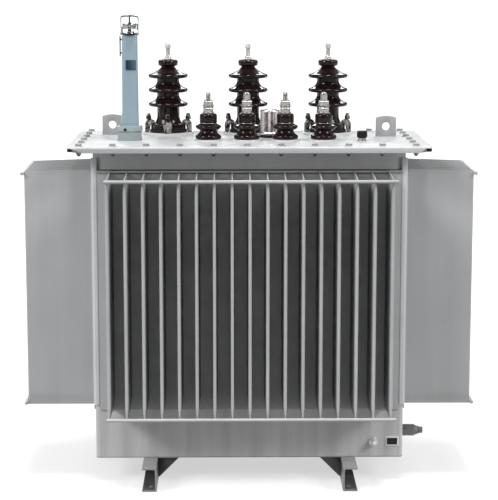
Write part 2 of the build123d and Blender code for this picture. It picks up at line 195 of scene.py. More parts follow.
# %% lamps
def soft_light(name, toward, energy, angle):
    """A broad soft light that comes from one direction."""
    data = bpy.data.lights.new(name, "SUN")
    data.energy = energy
    data.angle = math.radians(angle)
    light = bpy.data.objects.new(name, data)
    light.rotation_euler = Vector(toward).to_track_quat("Z", "Y").to_euler()
    bpy.context.scene.collection.objects.link(light)


soft_light("left_key", (-0.66, -0.47, 0.58), 2.0, 20)
soft_light("right_key", (0.68, -0.45, 0.58), 1.55, 20)
soft_light("roof", (0.02, -0.1, 1.0), 1.65, 10)
print("lamps:", [lamp.name for lamp in bpy.data.lights])

# %% [markdown]
# Nearly everything on a transformer is sprayed with one grey paint. Real paint isn't one
# flat colour: it is a shade lighter here and darker there, it runs a little on upright
# sheets, it holds dust where it faces up and it dries with a skin like an orange's. We
# build that once as a node group, and give it other colours and amounts where it is used.

# %% shared effect: sprayed paint
def shader_group(name, inputs, outputs):
    """An empty node group with named sockets; returns it with its two end nodes."""
    group = bpy.data.node_groups.new(name, "ShaderNodeTree")
    for label, kind, value in inputs:
        group.interface.new_socket(label, in_out="INPUT", socket_type=kind).default_value = value
    for label, kind in outputs:
        group.interface.new_socket(label, in_out="OUTPUT", socket_type=kind)
    return group, put(group, "NodeGroupInput").outputs, put(group, "NodeGroupOutput")


def noise(tree, where, scale, detail=2.0, rough=0.5):
    """A soft noise between 0 and 1."""
    inputs = {"Vector": where, "Scale": scale, "Detail": detail, "Roughness": rough}
    return put(tree, "ShaderNodeTexNoise", inputs=inputs).outputs["Fac"]


def mix(tree, amount, a, b):
    """Blend two colours."""
    made = put(tree, "ShaderNodeMix", {"data_type": "RGBA"}, {"Factor": amount})
    for socket, colour in ((made.inputs[6], a), (made.inputs[7], b)):
        if isinstance(colour, bpy.types.NodeSocket):
            tree.links.new(colour, socket)
        else:
            socket.default_value = (*colour, 1.0)
    return made.outputs[2]


def place(tree, stretch=(1.0, 1.0, 1.0), shift=(0.0, 0.0, 0.0)):
    """Object coordinates, stretched for patterns that run one way."""
    where = put(tree, "ShaderNodeTexCoord").outputs["Object"]
    return put(tree, "ShaderNodeMapping", inputs={"Vector": where, "Scale": stretch, "Location": shift}).outputs[0]


def shaded(tree, colour, value):
    """A colour made lighter or darker."""
    return put(tree, "ShaderNodeHueSaturation", inputs={"Color": colour, "Value": value}).outputs[0]


COLOUR, NUMBER, VECTOR = "NodeSocketColor", "NodeSocketFloat", "NodeSocketVector"
MID_GREY = (0.5, 0.5, 0.5, 1.0)
SURFACE = [("Color", COLOUR), ("Roughness", NUMBER), ("Height", NUMBER)]
DUST_COLOUR, SPECK_COLOUR = (0.42, 0.405, 0.38), (0.16, 0.155, 0.15)
group, paint_in, paint_out = shader_group(
    "sprayed_paint", [("Color", COLOUR, MID_GREY), ("Dust", NUMBER, 0.3), ("Runs", NUMBER, 0.5)], SURFACE
)
cloud = noise(group, place(group), 5.0, 4.0)
runs = noise(group, place(group, (26.0, 26.0, 1.6)), 1.0, 3.0)
runs = product(group, remap(group, runs, 0.3, 0.7, -0.09, 0.09), paint_in["Runs"])
toned = shaded(group, paint_in["Color"], calc(group, "ADD", remap(group, cloud, 0.3, 0.7, 0.95, 1.05), runs))
facing = put(group, "ShaderNodeNewGeometry").outputs["Normal"]
upward = put(group, "ShaderNodeSeparateXYZ", inputs={0: facing}).outputs["Z"]
dust = remap(group, noise(group, place(group), 17.0, 6.0, 0.65), 0.42, 0.72, 0.0, 1.0)
dust = product(group, dust, remap(group, upward, 0.5, 0.95, 0.0, 1.0), paint_in["Dust"])
specks = put(group, "ShaderNodeTexVoronoi", inputs={"Vector": place(group), "Scale": 55.0}).outputs["Distance"]
specks = product(group, remap(group, specks, 0.03, 0.07, 0.5, 0.0), noise(group, place(group), 9.0))
smudge = remap(group, noise(group, place(group), 31.0, 5.0), 0.3, 0.7, 0.28, 0.44)
peel = product(group, noise(group, place(group), 420.0, 1.0), 0.05)
wave = noise(group, place(group, (9.0, 9.0, 4.0)), 1.0, 1.0)
feed(group, paint_out, {
    "Color": mix(group, specks, mix(group, dust, toned, DUST_COLOUR), SPECK_COLOUR),
    "Roughness": calc(group, "ADD", smudge, product(group, dust, 0.3)),
    "Height": calc(group, "ADD", peel, wave),
})
paint_group = group
print("group", paint_group.name, "nodes", len(paint_group.nodes))

# %% [markdown]
# Paint is thin on sharp edges, and there it gets knocked off. A Bevel node looks at the
# surface round a point: where its smoothed normal leans away from the true one, there is
# an edge. A little noise breaks that line up into chips. Grain and brushing are two more
# effects that several finishes share: cast and moulded surfaces have the first, drawn and
# plated metal the second.

# %% shared effects: chipped edges, grain, brushing
CHIP_SEEK = 0.0016
group, chip_in, chip_out = shader_group("chipped_edges", [("Amount", NUMBER, 0.5)], [("Mask", NUMBER)])
eased = put(group, "ShaderNodeBevel", {"samples": 4}, {"Radius": CHIP_SEEK}).outputs[0]
unbent = put(group, "ShaderNodeNewGeometry").outputs["Normal"]
on_edge = remap(group, vectors(group, "DOT_PRODUCT", eased, unbent, "Value"), 0.97, 0.8, 0.0, 1.0)
bite = remap(group, noise(group, place(group), 60.0, 6.0, 0.7), 0.56, 0.66, 0.0, 1.0)
feed(group, chip_out, {"Mask": product(group, on_edge, bite, chip_in["Amount"])})
chip_group = group

group, grain_in, grain_out = shader_group(
    "grain", [("Color", COLOUR, MID_GREY), ("Scale", NUMBER, 300.0), ("Contrast", NUMBER, 0.2)], SURFACE
)
fine = noise(group, place(group), grain_in["Scale"], 3.0, 0.6)
coarse = noise(group, place(group), 40.0, 4.0)
blotch = calc(group, "ADD", product(group, fine, 0.5), product(group, coarse, 0.5))
swing = product(group, remap(group, blotch, 0.3, 0.7, -1.0, 1.0), grain_in["Contrast"])
feed(group, grain_out, {
    "Color": shaded(group, grain_in["Color"], calc(group, "ADD", swing, 1.0)),
    "Roughness": remap(group, blotch, 0.3, 0.7, 0.42, 0.66),
    "Height": fine,
})
grain_group = group

group, brush_in, brush_out = shader_group(
    "brushing", [("Color", COLOUR, (0.6, 0.6, 0.6, 1.0)), ("Stretch", VECTOR, (60.0, 60.0, 900.0))], SURFACE
)
where = put(group, "ShaderNodeTexCoord").outputs["Object"]
lines = noise(group, vectors(group, "MULTIPLY", where, brush_in["Stretch"]), 1.0, 3.0, 0.7)
stain = noise(group, place(group), 45.0, 4.0)
tint = calc(group, "ADD", remap(group, lines, 0.2, 0.8, 0.88, 1.06), remap(group, stain, 0.3, 0.7, -0.1, 0.06))
feed(group, brush_out, {
    "Color": shaded(group, brush_in["Color"], tint),
    "Roughness": remap(group, stain, 0.3, 0.7, 0.2, 0.36),
    "Height": lines,
})
brush_group = group
print("groups:", [g.name for g in bpy.data.node_groups])

# %% [markdown]
# Now the finishes themselves. Each one is a Principled shader that takes its changing
# values from the groups above and keeps its constants on its own sockets. Paint comes
# first: it is sprayed on, and bare steel shows where an edge is chipped.

# %% painted steel
def finish_on(name):
    """A new material with its tree and its Principled shader."""
    made = bpy.data.materials.new(name)
    made.use_nodes = True
    return made, made.node_tree, made.node_tree.nodes["Principled BSDF"]


def use(tree, group, inputs):
    """Place a shared effect in a material."""
    return put(tree, "ShaderNodeGroup", {"node_tree": group}, inputs).outputs


def bump(tree, shader, height, depth):
    """Let a height push the shader's normal about."""
    inputs = {"Height": height, "Distance": depth, "Strength": 1.0}
    feed(tree, shader, {"Normal": put(tree, "ShaderNodeBump", inputs=inputs).outputs[0]})


BARE_STEEL = (0.23, 0.22, 0.21)


def painted(name, colour, dust=0.35, runs=0.5, chips=0.6, depth=0.0012, painted_shade=None, dark=0.3):
    """Sprayed paint, with steel showing at chipped edges and, if asked for, painted shade by a mask."""
    made, tree, shader = finish_on(name)
    coat = use(tree, paint_group, {"Color": (*colour, 1.0), "Dust": dust, "Runs": runs})
    chip = use(tree, chip_group, {"Amount": chips})["Mask"]
    shade = coat["Color"]
    # painted shade: the mask darkens the colour towards a dark copy of the paint where shade falls
    if painted_shade:
        shade = mix(tree, painted_shade(tree), shade, tuple(dark * c for c in colour))
    feed(tree, shader, {
        "Base Color": mix(tree, chip, shade, BARE_STEEL),
        "Roughness": coat["Roughness"],
        "Metallic": product(tree, chip, 0.8),
    })
    bump(tree, shader, coat["Height"], depth)
    return made


print("bare steel under the paint:", BARE_STEEL)

# %% [markdown]
# Shade is painted into the colour where it falls: deep between the fins, above them under the cover, inside the
# skids and along the tank's foot. A mask says where. It is made from the distance to the tank's middle, which
# Object coordinates give, and noise breaks it up.

# %% painted shade
def far(tree, axis):
    """How far a point lies from the middle of the tank along one axis."""
    spot = put(tree, "ShaderNodeSeparateXYZ", inputs={0: place(tree)}).outputs
    return calc(tree, "ABSOLUTE", spot[axis])


ABOVE_FINS, FIN_TOPS = (0.902, 0.912), (0.84, 0.9)


def slot_shade(axis, outer, inner, floor_at, along, last_fin, tops=1.0):
    """Painted shade on the flanks between the fins: less on the slots' floor, more above the fins, where the
    cover's shadow falls.
    """
    def mask(tree):
        reach, level = far(tree, axis), far(tree, "Z")
        deep = remap(tree, reach, outer, inner, 0.0, 1.0)
        on_floor = remap(tree, reach, floor_at + 0.001, floor_at + 0.006, 0.58, 1.0)
        above = remap(tree, level, *ABOVE_FINS, 0.0, 1.1)
        between = remap(tree, far(tree, along), last_fin, last_fin - 0.001, 0.0, 1.0)
        near_top = remap(tree, level, *FIN_TOPS, 1.0, tops)
        patchy = remap(tree, noise(tree, place(tree), 7.0, 4.0), 0.3, 0.7, 0.72, 0.92)
        return product(tree, deep, calc(tree, "MAXIMUM", on_floor, above), between, near_top, patchy)
    return mask


def channel_shade(web_back, web_face, low, high, end):
    """Painted shade inside a channel and on the back of its web, deeper further from the ends."""
    def mask(tree):
        level, across = far(tree, "Z"), far(tree, "X")
        between = product(tree, calc(tree, "GREATER_THAN", level, low), calc(tree, "LESS_THAN", level, high))
        outside, behind = calc(tree, "GREATER_THAN", across, web_face), calc(tree, "LESS_THAN", across, web_back)
        deeper = remap(tree, far(tree, "Y"), end, end - 0.15, 0.66, 0.95)
        return product(tree, between, calc(tree, "MAXIMUM", outside, behind), deeper)
    return mask


def foot_shade(level):
    """A dark line of painted shade along the lower edge of a wall."""
    def mask(tree):
        uneven = remap(tree, noise(tree, place(tree), 30.0, 4.0), 0.3, 0.7, 0.5, 0.8)
        return product(tree, remap(tree, far(tree, "Z"), level + 0.0042, level + 0.0022, 0.0, 1.0), uneven)
    return mask


# where the painted shade above the fins begins
print("grime above the fins starts at", ABOVE_FINS[0], "m")

# %% [markdown]
# The tank and the cover share a light grey, and the gauge is bluer. Every kind of piece has its own amount of
# dust, runs and chips, because each has lived a different life. Some paints also carry painted shade or painted
# light: shade between the fins, inside the skids and along the trough's foot, a lighter grey on the frame and the
# trough that lifts their shade, and a painted highlight on the corner posts.

# %% paints
GREY = (0.43, 0.435, 0.44)
tank_paint = painted("tank_paint", GREY, runs=0.35)
# fins: painted shade deep in the slots and in the cover's shadow above them
front_slots = slot_shade("Y", outer=0.32, inner=0.225, floor_at=0.205, along="X", last_fin=0.401)
end_slots = slot_shade("X", outer=0.60, inner=0.48, floor_at=0.455, along="Y", last_fin=0.151, tops=0.1)
front_fin_paint = painted("front_fin_paint", GREY, runs=0.35, painted_shade=front_slots)
end_fin_paint = painted("end_fin_paint", GREY, runs=0.35, painted_shade=end_slots)
# frame: a lighter copy of the grey, painted light that lifts the shade under the cover's overhang
frame_lit_paint = painted("frame_lit_paint", (0.56, 0.565, 0.57), runs=0.35)
# posts: a paler copy of the grey, a painted highlight
post_highlight_paint = painted("post_highlight_paint", (0.64, 0.645, 0.65), runs=0.6)
# trough: a lighter copy of the grey, painted light against the fins' shadow; its strong runs are paint runs and
# painted bands of the fins' shade; a painted shade line darkens its foot
trough_lit_and_shaded_paint = painted("trough_lit_and_shaded_paint", (0.57, 0.57, 0.57), runs=1.6, painted_shade=foot_shade(0.07))
lug_paint = painted("lug_paint", (0.32, 0.325, 0.33), dust=0.2)
cover_paint = painted("cover_paint", (0.49, 0.5, 0.505), dust=0.2, runs=0.2)
# skids: painted shade inside the channels and on the backs of the webs
skid_shade = channel_shade(web_back=0.2693, web_face=0.2735, low=0.004, high=0.066, end=0.315)
skid_paint = painted("skid_paint", (0.25, 0.25, 0.25), dust=0.25, chips=1.0, painted_shade=skid_shade, dark=0.12)
bolt_paint = painted("bolt_paint", (0.29, 0.29, 0.29), dust=0.2, chips=1.0)
shade_paint = painted("shade_paint", (0.04, 0.04, 0.04), dust=0.4)
gauge_paint = painted("gauge_paint", (0.262, 0.352, 0.402), runs=0.5, chips=0.3, depth=0.0006)
foot_paint = painted("foot_paint", (0.295, 0.34, 0.35), runs=0.3, chips=0.4, depth=0.0008)
print("paints:", tank_paint.name, cover_paint.name, skid_paint.name, gauge_paint.name)

# %% [markdown]
# Porcelain is dipped in a brown glaze that fires nearly black. It is glass: smooth, a
# little wavy, thinner and browner in patches. Hardware is plated or tinned steel, the
# clamps are sand castings, the tap cap is drawn stainless. The dome is clear plastic.

# %% other finishes
def metal(name, colour, stretch, depth=0.00005, metallic=1.0):
    """Bare metal with fine lines that run one way."""
    made, tree, shader = finish_on(name)
    brush = use(tree, brush_group, {"Color": (*colour, 1.0), "Stretch": stretch})
    feed(tree, shader, {"Base Color": brush["Color"], "Roughness": brush["Roughness"], "Metallic": metallic})
    bump(tree, shader, brush["Height"], depth)
    return made


def moulded(name, colour, scale, contrast, depth, constants):
    """A cast or moulded surface with its grain."""
    made, tree, shader = finish_on(name)
    skin = use(tree, grain_group, {"Color": (*colour, 1.0), "Scale": scale, "Contrast": contrast})
    feed(tree, shader, {"Base Color": skin["Color"], "Roughness": skin["Roughness"], **constants})
    bump(tree, shader, skin["Height"], depth)
    return made


porcelain, tree, shader = finish_on("brown_porcelain")
pool = noise(tree, place(tree), 28.0, 5.0, 0.6)
flecks = noise(tree, place(tree), 600.0, 2.0)
glaze = ramp(
    tree, pool, [(0.3, (0.005, 0.003, 0.003)), (0.6, (0.015, 0.0075, 0.0075)), (0.8, (0.034, 0.016, 0.015))]
)
feed(tree, shader, {
    "Base Color": mix(tree, remap(tree, flecks, 0.6, 0.7, 0.0, 0.6), glaze, (0.05, 0.02, 0.016)),
    "Roughness": remap(tree, pool, 0.3, 0.7, 0.05, 0.12),
    "Specular IOR Level": 0.5,
    "Specular Tint": (0.42, 0.4, 0.4, 1.0),
})
bump(tree, shader, noise(tree, place(tree), 80.0, 2.0), 0.0009)

TURNING = (300.0, 300.0, 700.0)
plated = metal("plated_steel", (0.4, 0.39, 0.375), TURNING)
dark_steel = metal("dark_steel", (0.16, 0.155, 0.15), TURNING)
tinned = metal("tinned_steel", (0.68, 0.66, 0.64), TURNING, metallic=0.5)
stainless = metal("stainless", (0.85, 0.745, 0.755), (420.0, 420.0, 14.0))
cast_clamp = moulded("cast_clamp", (0.165, 0.155, 0.147), 150.0, 3.4, 0.006, {"Metallic": 0.5})
rubber = moulded("black_rubber", (0.012, 0.012, 0.013), 500.0, 0.4, 0.0002, {"Specular IOR Level": 0.25})
plastic = moulded("black_plastic", (0.01, 0.01, 0.011), 900.0, 0.3, 0.00008, {"Specular IOR Level": 0.3})

dome_clear, tree, shader = finish_on("clear_dome")
feed(tree, shader, {
    "Base Color": (0.95, 0.97, 0.98, 1.0),
    "Transmission Weight": 1.0,
    "IOR": 1.14,
    "Roughness": remap(tree, noise(tree, place(tree), 60.0, 5.0), 0.35, 0.75, 0.0, 0.06),
})
bump(tree, shader, noise(tree, place(tree), 90.0, 2.0), 0.0002)
print("finishes:", sorted(m.name for m in bpy.data.materials))

# %% [markdown]
# Blender's operators act on whatever is selected, so a few small tools keep that tidy.
# These select one piece alone, add a primitive with nothing else selected, and put the
# piece's place into its mesh, as the CAD nodes have it. Blender works in metres, but small
# sizes read better in millimetres, so one tool turns the second into the first.

# %% tools to add a piece
MM = 0.001


def mm(x, y, z):
    """A point or a step given in millimetres."""
    return Vector((x, y, z)) * MM


def only(piece):
    """Select one piece and nothing else."""
    bpy.ops.object.select_all(action="DESELECT")
    piece.select_set(True)
    bpy.context.view_layer.objects.active = piece


def settle(piece):
    """Put a piece's place, turn and scale into its mesh."""
    only(piece)
    bpy.ops.object.transform_apply(location=True, rotation=True, scale=True)


def add(operator, name, **inputs):
    """Add one primitive with nothing else selected."""
    bpy.ops.object.select_all(action="DESELECT")
    operator(**inputs)
    piece = bpy.context.object
    piece.name = piece.data.name = name
    settle(piece)
    return piece


def block(name, corner, opposite):
    """A cube between two opposite corners, to be shaped further."""
    corner, opposite = Vector(corner), Vector(opposite)
    sides = [abs(side) for side in opposite - corner]
    return add(bpy.ops.mesh.primitive_cube_add, name, size=1.0, location=(corner + opposite) / 2, scale=sides)


def rod(name, at, radius, length, sides=24):
    """An upright cylinder that stands on a point, to be shaped further."""
    half_up = Vector(at) + Vector((0.0, 0.0, length / 2))
    return add(
        bpy.ops.mesh.primitive_cylinder_add, name, vertices=sides, radius=radius, depth=length, location=half_up
    )


print("sizes are written in mm, which is", MM, "m")

# %% [markdown]
# Shaping is done in edit mode. One tool opens a piece and closes it again, and one selects
# points, edges or faces by where they are. A bevel eases edges, a bisect cuts, and a round
# piece is half an outline that is spun.

# %% tools to select and shape
SHARP_ANGLE = 30


@contextmanager
def editing(piece):
    """Open one piece in edit mode, with all of it selected, and close it again."""
    only(piece)
    bpy.ops.object.mode_set(mode="EDIT")
    bpy.ops.mesh.select_mode(type="VERT")
    bpy.ops.mesh.select_all(action="SELECT")
    yield
    bpy.ops.object.mode_set(mode="OBJECT")


def middle(item):
    """The middle of a point, an edge or a face."""
    if isinstance(item, bmesh.types.BMVert):
        return item.co
    return sum((v.co for v in item.verts), Vector()) / len(item.verts)


def pick(kind, test):
    """Select only the points, edges or faces that pass a test."""
    mesh = bpy.context.edit_object.data
    bpy.ops.mesh.select_mode(type=kind)
    bpy.ops.mesh.select_all(action="DESELECT")
    shape = bmesh.from_edit_mesh(mesh)
    for item in {"VERT": shape.verts, "EDGE": shape.edges, "FACE": shape.faces}[kind]:
        if test(item):
            item.select_set(True)
    shape.select_flush_mode()
    bmesh.update_edit_mesh(mesh)


def sharp(edge):
    """An edge where two faces meet at a clear angle."""
    return edge.is_manifold and edge.calc_face_angle() > math.radians(SHARP_ANGLE)


def upright(edge):
    """An edge that runs straight up."""
    a, b = (v.co for v in edge.verts)
    return abs(a.x - b.x) < 1e-6 and abs(a.y - b.y) < 1e-6


def ease(width, steps=2, test=sharp):
    """Round off the edges that pass a test, by default all the sharp ones."""
    pick("EDGE", test)
    bpy.ops.mesh.bevel(offset=width * MM, segments=steps, affect="EDGES", clamp_overlap=True)


def cut(at, normal):
    """Cut the whole piece along a plane, without taking anything away."""
    bpy.ops.mesh.select_all(action="SELECT")
    bpy.ops.mesh.bisect(plane_co=at, plane_no=normal)


def turned(name, at, outline, steps=48, corner_steps=4):
    """Draw half an outline, as (radius, height, rounding) in mm from a foot, and spin it."""
    at = Vector(at)
    piece = add(bpy.ops.mesh.primitive_plane_add, name, size=MM, location=at)
    with editing(piece):
        bpy.ops.mesh.merge(type="CENTER")
        bpy.ops.transform.translate(value=mm(outline[0][0], 0, outline[0][1]))
        for before, after in zip(outline, outline[1:]):
            step = mm(after[0] - before[0], 0, after[1] - before[1])
            bpy.ops.mesh.extrude_region_move(TRANSFORM_OT_translate={"value": step})
        for radius, height, rounding in (point for point in outline if len(point) == 3):
            corner = at + mm(radius, 0, height)
            pick("VERT", lambda v: (v.co - corner).length < 2e-5)
            bpy.ops.mesh.bevel(offset=rounding * MM, segments=corner_steps, affect="VERTICES")
        bpy.ops.mesh.select_all(action="SELECT")
        bpy.ops.mesh.spin(steps=steps, angle=math.tau, center=at, axis=(0.0, 0.0, 1.0))
        bpy.ops.mesh.select_all(action="SELECT")
        bpy.ops.mesh.remove_doubles(threshold=1e-6)
        bpy.ops.mesh.normals_make_consistent(inside=False)
    return piece


print("an edge is sharp past", SHARP_ANGLE, "degrees")

# %% [markdown]
# What repeats is modelled once and copied. Here are the tools for that, for drilling and
# joining, and for the end of every piece: its shading, its finish and its tie to the frame.

# %% tools to copy, join and finish
TO_RIGHT = (0.0, math.radians(90), 0.0)
TO_FRONT = (math.radians(90), 0.0, 0.0)
ORIGIN = Vector()


def laid(piece, at, turn):
    """Turn a piece that was made at the origin, and move its foot to a point."""
    piece.rotation_euler = turn
    piece.location = at
    settle(piece)
    return piece


def copied(piece, name, step=(0.0, 0.0, 0.0), turn=0.0):
    """A copy with its own mesh, turned round the middle of the tank and then moved."""
    only(piece)
    bpy.ops.object.duplicate()
    twin = bpy.context.object
    twin.name = twin.data.name = name
    return laid(twin, step, (0.0, 0.0, math.radians(turn)))


def at_steps(first, name, steps):
    """The first piece, and a copy of it at every further step."""
    return [first] + [copied(first, f"{name}_{i}", step) for i, step in enumerate(steps[1:], 2)]


def in_row(piece, count, step):
    """Repeat a piece along a line."""
    only(piece)
    bpy.ops.object.modifier_add(type="ARRAY")
    row = piece.modifiers[-1]
    row.count = count
    row.use_relative_offset = False
    row.use_constant_offset = True
    row.constant_offset_displace = step
    bpy.ops.object.modifier_apply(modifier=row.name)
    return piece


def drilled(piece, drill):
    """Take one shape away from a piece with a Boolean."""
    only(piece)
    bpy.ops.object.modifier_add(type="BOOLEAN")
    hole = piece.modifiers[-1]
    hole.operation = "DIFFERENCE"
    hole.object = drill
    bpy.ops.object.modifier_apply(modifier=hole.name)
    bpy.data.objects.remove(drill)


def joined(name, pieces):
    """Make one piece of several."""
    bpy.ops.object.select_all(action="DESELECT")
    for piece in pieces:
        piece.select_set(True)
    bpy.context.view_layer.objects.active = pieces[0]
    bpy.ops.object.join()
    pieces[0].name = pieces[0].data.name = name
    return pieces[0]


def done(piece, slot, finish, *stands_for, angle=35.0):
    """Shade and finish a piece, and tie it to the frame."""
    only(piece)
    bpy.ops.object.shade_smooth_by_angle(angle=math.radians(angle))
    piece.data.materials.clear()
    piece.data.materials.append(finish)
    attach(piece, "root")
    if stands_for:
        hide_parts(*stands_for)
    print(piece.name, "faces", len(piece.data.polygons))
    return piece


def foot_of(node):
    """The middle of a CAD node's foot, in metres."""
    low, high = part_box(node)
    return Vector(((low.x + high.x) / 2, (low.y + high.y) / 2, low.z))


def height_of(node):
    """A CAD node's height, in mm."""
    low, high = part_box(node)
    return (high.z - low.z) / MM


print("the gauge's dome is", round(height_of("gauge_dome"), 1), "mm tall, measured with the tools")

# %% [markdown]
# The corrugated walls cool the oil. On a real one a long sheet is folded into deep narrow
# fins on a press, each fin's ends are squeezed flat and welded, and the sheet becomes the
# tank's side. We shape one fin from a cube: its root flares into the wall, its nose is
# rounded, and its ends are pinched. Then an Array makes the row.

# %% corrugated walls
FIN_PITCH, FIN_THICK = 50.0, 9.0
FIN_ROOT, FIN_FLARE = 6.0, 2.0
FIN_PRESS, FIN_PINCH, PRESSED = 9.0, 32.0, 0.34
FIN_LIFT, LIFT_DEPTH, SHEET_THICK = 6.0, 15.0, 4.0
FRONT_FINS, END_FINS, FIN_LOW, FIN_HIGH, SHEET_HIGH = 17, 7, 221.0, 911.0, 920.0
TANK_HALF_DEPTH, TANK_HALF_WIDTH = 205.0, 455.0


def at_level(level):
    """A test for edges that lie at one height, in mm."""
    return lambda e: all(abs(v.co.z - level * MM) < 1e-5 for v in e.verts)


def fin_wall(name, fins, length, reach, depth, sheet_low):
    """One corrugated wall, facing the front, all sizes in mm."""
    first = -(fins - 1) * FIN_PITCH / 2
    low, high, half = FIN_LOW, FIN_HIGH, FIN_THICK / 2
    fin = block("fin", mm(first - half, -reach - depth, low), mm(first + half, -reach + 2, high))
    with editing(fin):
        cut(mm(0, -reach - FIN_ROOT, 0), (0.0, 1.0, 0.0))
        pick("VERT", lambda v: v.co.y > -reach * MM)
        bpy.ops.transform.resize(value=(FIN_FLARE, 1.0, 1.0), center_override=mm(first, 0, 0))
        ease(half - 0.2, 5, lambda e: upright(e) and e.verts[0].co.y < (-reach - depth + 1) * MM)
        ease(4.0, 3, lambda e: upright(e) and abs(e.verts[0].co.y - (-reach - FIN_ROOT) * MM) < 1e-5)
        pick("VERT", lambda v: v.co.z > (high - 1) * MM and v.co.y > (-reach - LIFT_DEPTH) * MM)
        bpy.ops.transform.translate(value=mm(0, 0, FIN_LIFT))
        for level in (low + FIN_PRESS, low + FIN_PINCH, high - FIN_PINCH, high - FIN_PRESS):
            cut(mm(0, 0, level), (0.0, 0.0, 1.0))
        pick("VERT", lambda v: not low + FIN_PRESS + 1 < v.co.z / MM < high - FIN_PRESS - 1)
        bpy.ops.transform.resize(value=(PRESSED, 1.0, 1.0), center_override=mm(first, 0, 0))
        for level in (low + FIN_PINCH, high - FIN_PINCH):
            ease(9.0, 3, at_level(level))
        for level in (low + FIN_PRESS, high - FIN_PRESS):
            ease(4.0, 2, at_level(level))
    in_row(fin, fins, mm(FIN_PITCH, 0, 0))
    sheet = block("sheet", mm(-length / 2, -reach, sheet_low), mm(length / 2, -reach + SHEET_THICK, SHEET_HIGH))
    with editing(sheet):
        ease(0.8, 1)
    return joined(name, [fin, sheet])


def box_mm(node):
    """A CAD node's lowest and highest corners, in mm."""
    return [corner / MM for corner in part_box(node)]


def four_sides(front, end, kind):
    """Turn copies of a front piece and an end piece to the tank's four sides."""
    sides = {
        "front": front,
        "back": copied(front, f"back_{kind}", turn=180),
        "left": copied(end, f"left_{kind}", turn=-90),
        "right": copied(end, f"right_{kind}", turn=90),
    }
    bpy.data.objects.remove(end)
    return sides


low, high = box_mm("front_corrugated_wall")
sheet_low = low.z
front_wall = fin_wall(
    "front_wall", FRONT_FINS, high.x - low.x, TANK_HALF_DEPTH, -TANK_HALF_DEPTH - low.y, sheet_low
)
low, high = box_mm("right_corrugated_wall")
end_wall = fin_wall("end_wall", END_FINS, high.y - low.y, TANK_HALF_WIDTH, high.x - TANK_HALF_WIDTH, sheet_low)
for side, wall in four_sides(front_wall, end_wall, "wall").items():
    paint = front_fin_paint if side in ("front", "back") else end_fin_paint
    done(wall, "tank_paint", paint, f"{side}_corrugated_wall", angle=30)

# %% [markdown]
# Round rods are welded along the top and bottom corners of the fins, so that the noses
# stay in line. Each rod gets eased ends, and a small weld where it crosses a fin. One
# side is modelled, and the opposite side is a turned copy.

# %% fin rods with their welds
TACK_SIZE, TACK_SHAPE, TACK_SIDE, TACK_BACK = 3.2, (0.8, 0.8, 1.5), 2.6, 0.82
ROD_SHORT = 7.0


def fin_rods(name, fins, low, high):
    """Two rods along one side, facing the front, with a weld at every fin."""
    made = []
    radius, y = (high.y - low.y) / 2, (low.y + high.y) / 2
    for level in (low.z + radius, high.z - radius):
        bar = rod("bar", mm(0, 0, low.x), radius * MM, (high.x - low.x) * MM, 20)
        with editing(bar):
            ease(1.5, 2)
        laid(bar, mm(0, y, level), TO_RIGHT)
        first = -(fins - 1) * FIN_PITCH / 2
        for side in (-1, 1):
            spot = mm(first + side * TACK_SIDE, y + radius * TACK_BACK, level)
            sphere = bpy.ops.mesh.primitive_ico_sphere_add
            tack = add(sphere, "tack", subdivisions=2, radius=TACK_SIZE * MM, location=spot)
            with editing(tack):
                bpy.ops.transform.resize(value=TACK_SHAPE, center_override=spot)
            made.append(in_row(tack, fins, mm(FIN_PITCH, 0, 0)))
        made.append(bar)
    return joined(name, made)


low, high = box_mm("front_fin_rods")
front_rods = fin_rods("front_rods", FRONT_FINS, low + Vector((ROD_SHORT, 0.0, 0.0)), high)
low, high = box_mm("right_fin_rods")
end_rods = fin_rods("end_rods", END_FINS, Vector((low.y, -high.x, low.z)), Vector((high.y, -low.x, high.z)))
for side, bars in four_sides(front_rods, end_rods, "rods").items():
    done(bars, "tank_paint", tank_paint, f"{side}_fin_rods", angle=40)

# %% [markdown]
# The skids are rolled steel channels. A rolled section has rounded toes and a fillet where
# the web meets the flanges. We start from a cube, take away its open side and ends, give
# the sheet that is left its thickness, round it, and drill the bolt holes with a Boolean.

# %% skid channels
CHANNEL_THICK = 5.0
SKID_HOLE_R, SKID_HOLE_X, SKID_HOLE_Y = 9.0, 290.0, 275.0


def skid(name, node):
    """One channel with its open side outwards."""
    low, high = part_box(node)
    outward = 1.0 if low.x > 0 else -1.0
    web_back = low.x if outward > 0 else high.x
    web_face = web_back + outward * CHANNEL_THICK * MM
    piece = block(name, low, high)
    with editing(piece):
        pick("FACE", lambda f: f.normal.x * outward > 0.5 or abs(f.normal.y) > 0.5)
        bpy.ops.mesh.delete(type="FACE")
    bpy.ops.object.modifier_add(type="SOLIDIFY")
    sheet = piece.modifiers[-1]
    sheet.thickness = CHANNEL_THICK * MM
    sheet.offset = -1.0
    sheet.use_even_offset = True
    bpy.ops.object.modifier_apply(modifier=sheet.name)

    def along(edge):
        a, b = (v.co for v in edge.verts)
        return abs(a.y - b.y) > 0.1

    with editing(piece):
        ease(4.0, 4, lambda e: along(e) and abs(middle(e).x - web_face) < 1e-4)
        ease(1.6, 3, lambda e: along(e) and sharp(e) and abs(middle(e).x - web_face) > 0.02)
        ease(2.0, 3, lambda e: along(e) and sharp(e) and abs(middle(e).x - web_back) < 1e-4)
    for end in (-1, 1):
        under_hole = mm(outward * SKID_HOLE_X, end * SKID_HOLE_Y, low.z / MM - 10)
        drilled(piece, rod("drill", under_hole, SKID_HOLE_R * MM, 30 * MM, 32))
    return piece


for side in ("left", "right"):
    done(skid(f"channel_{side}", f"skid_{side}"), "tank_paint", skid_paint, f"skid_{side}", angle=40)

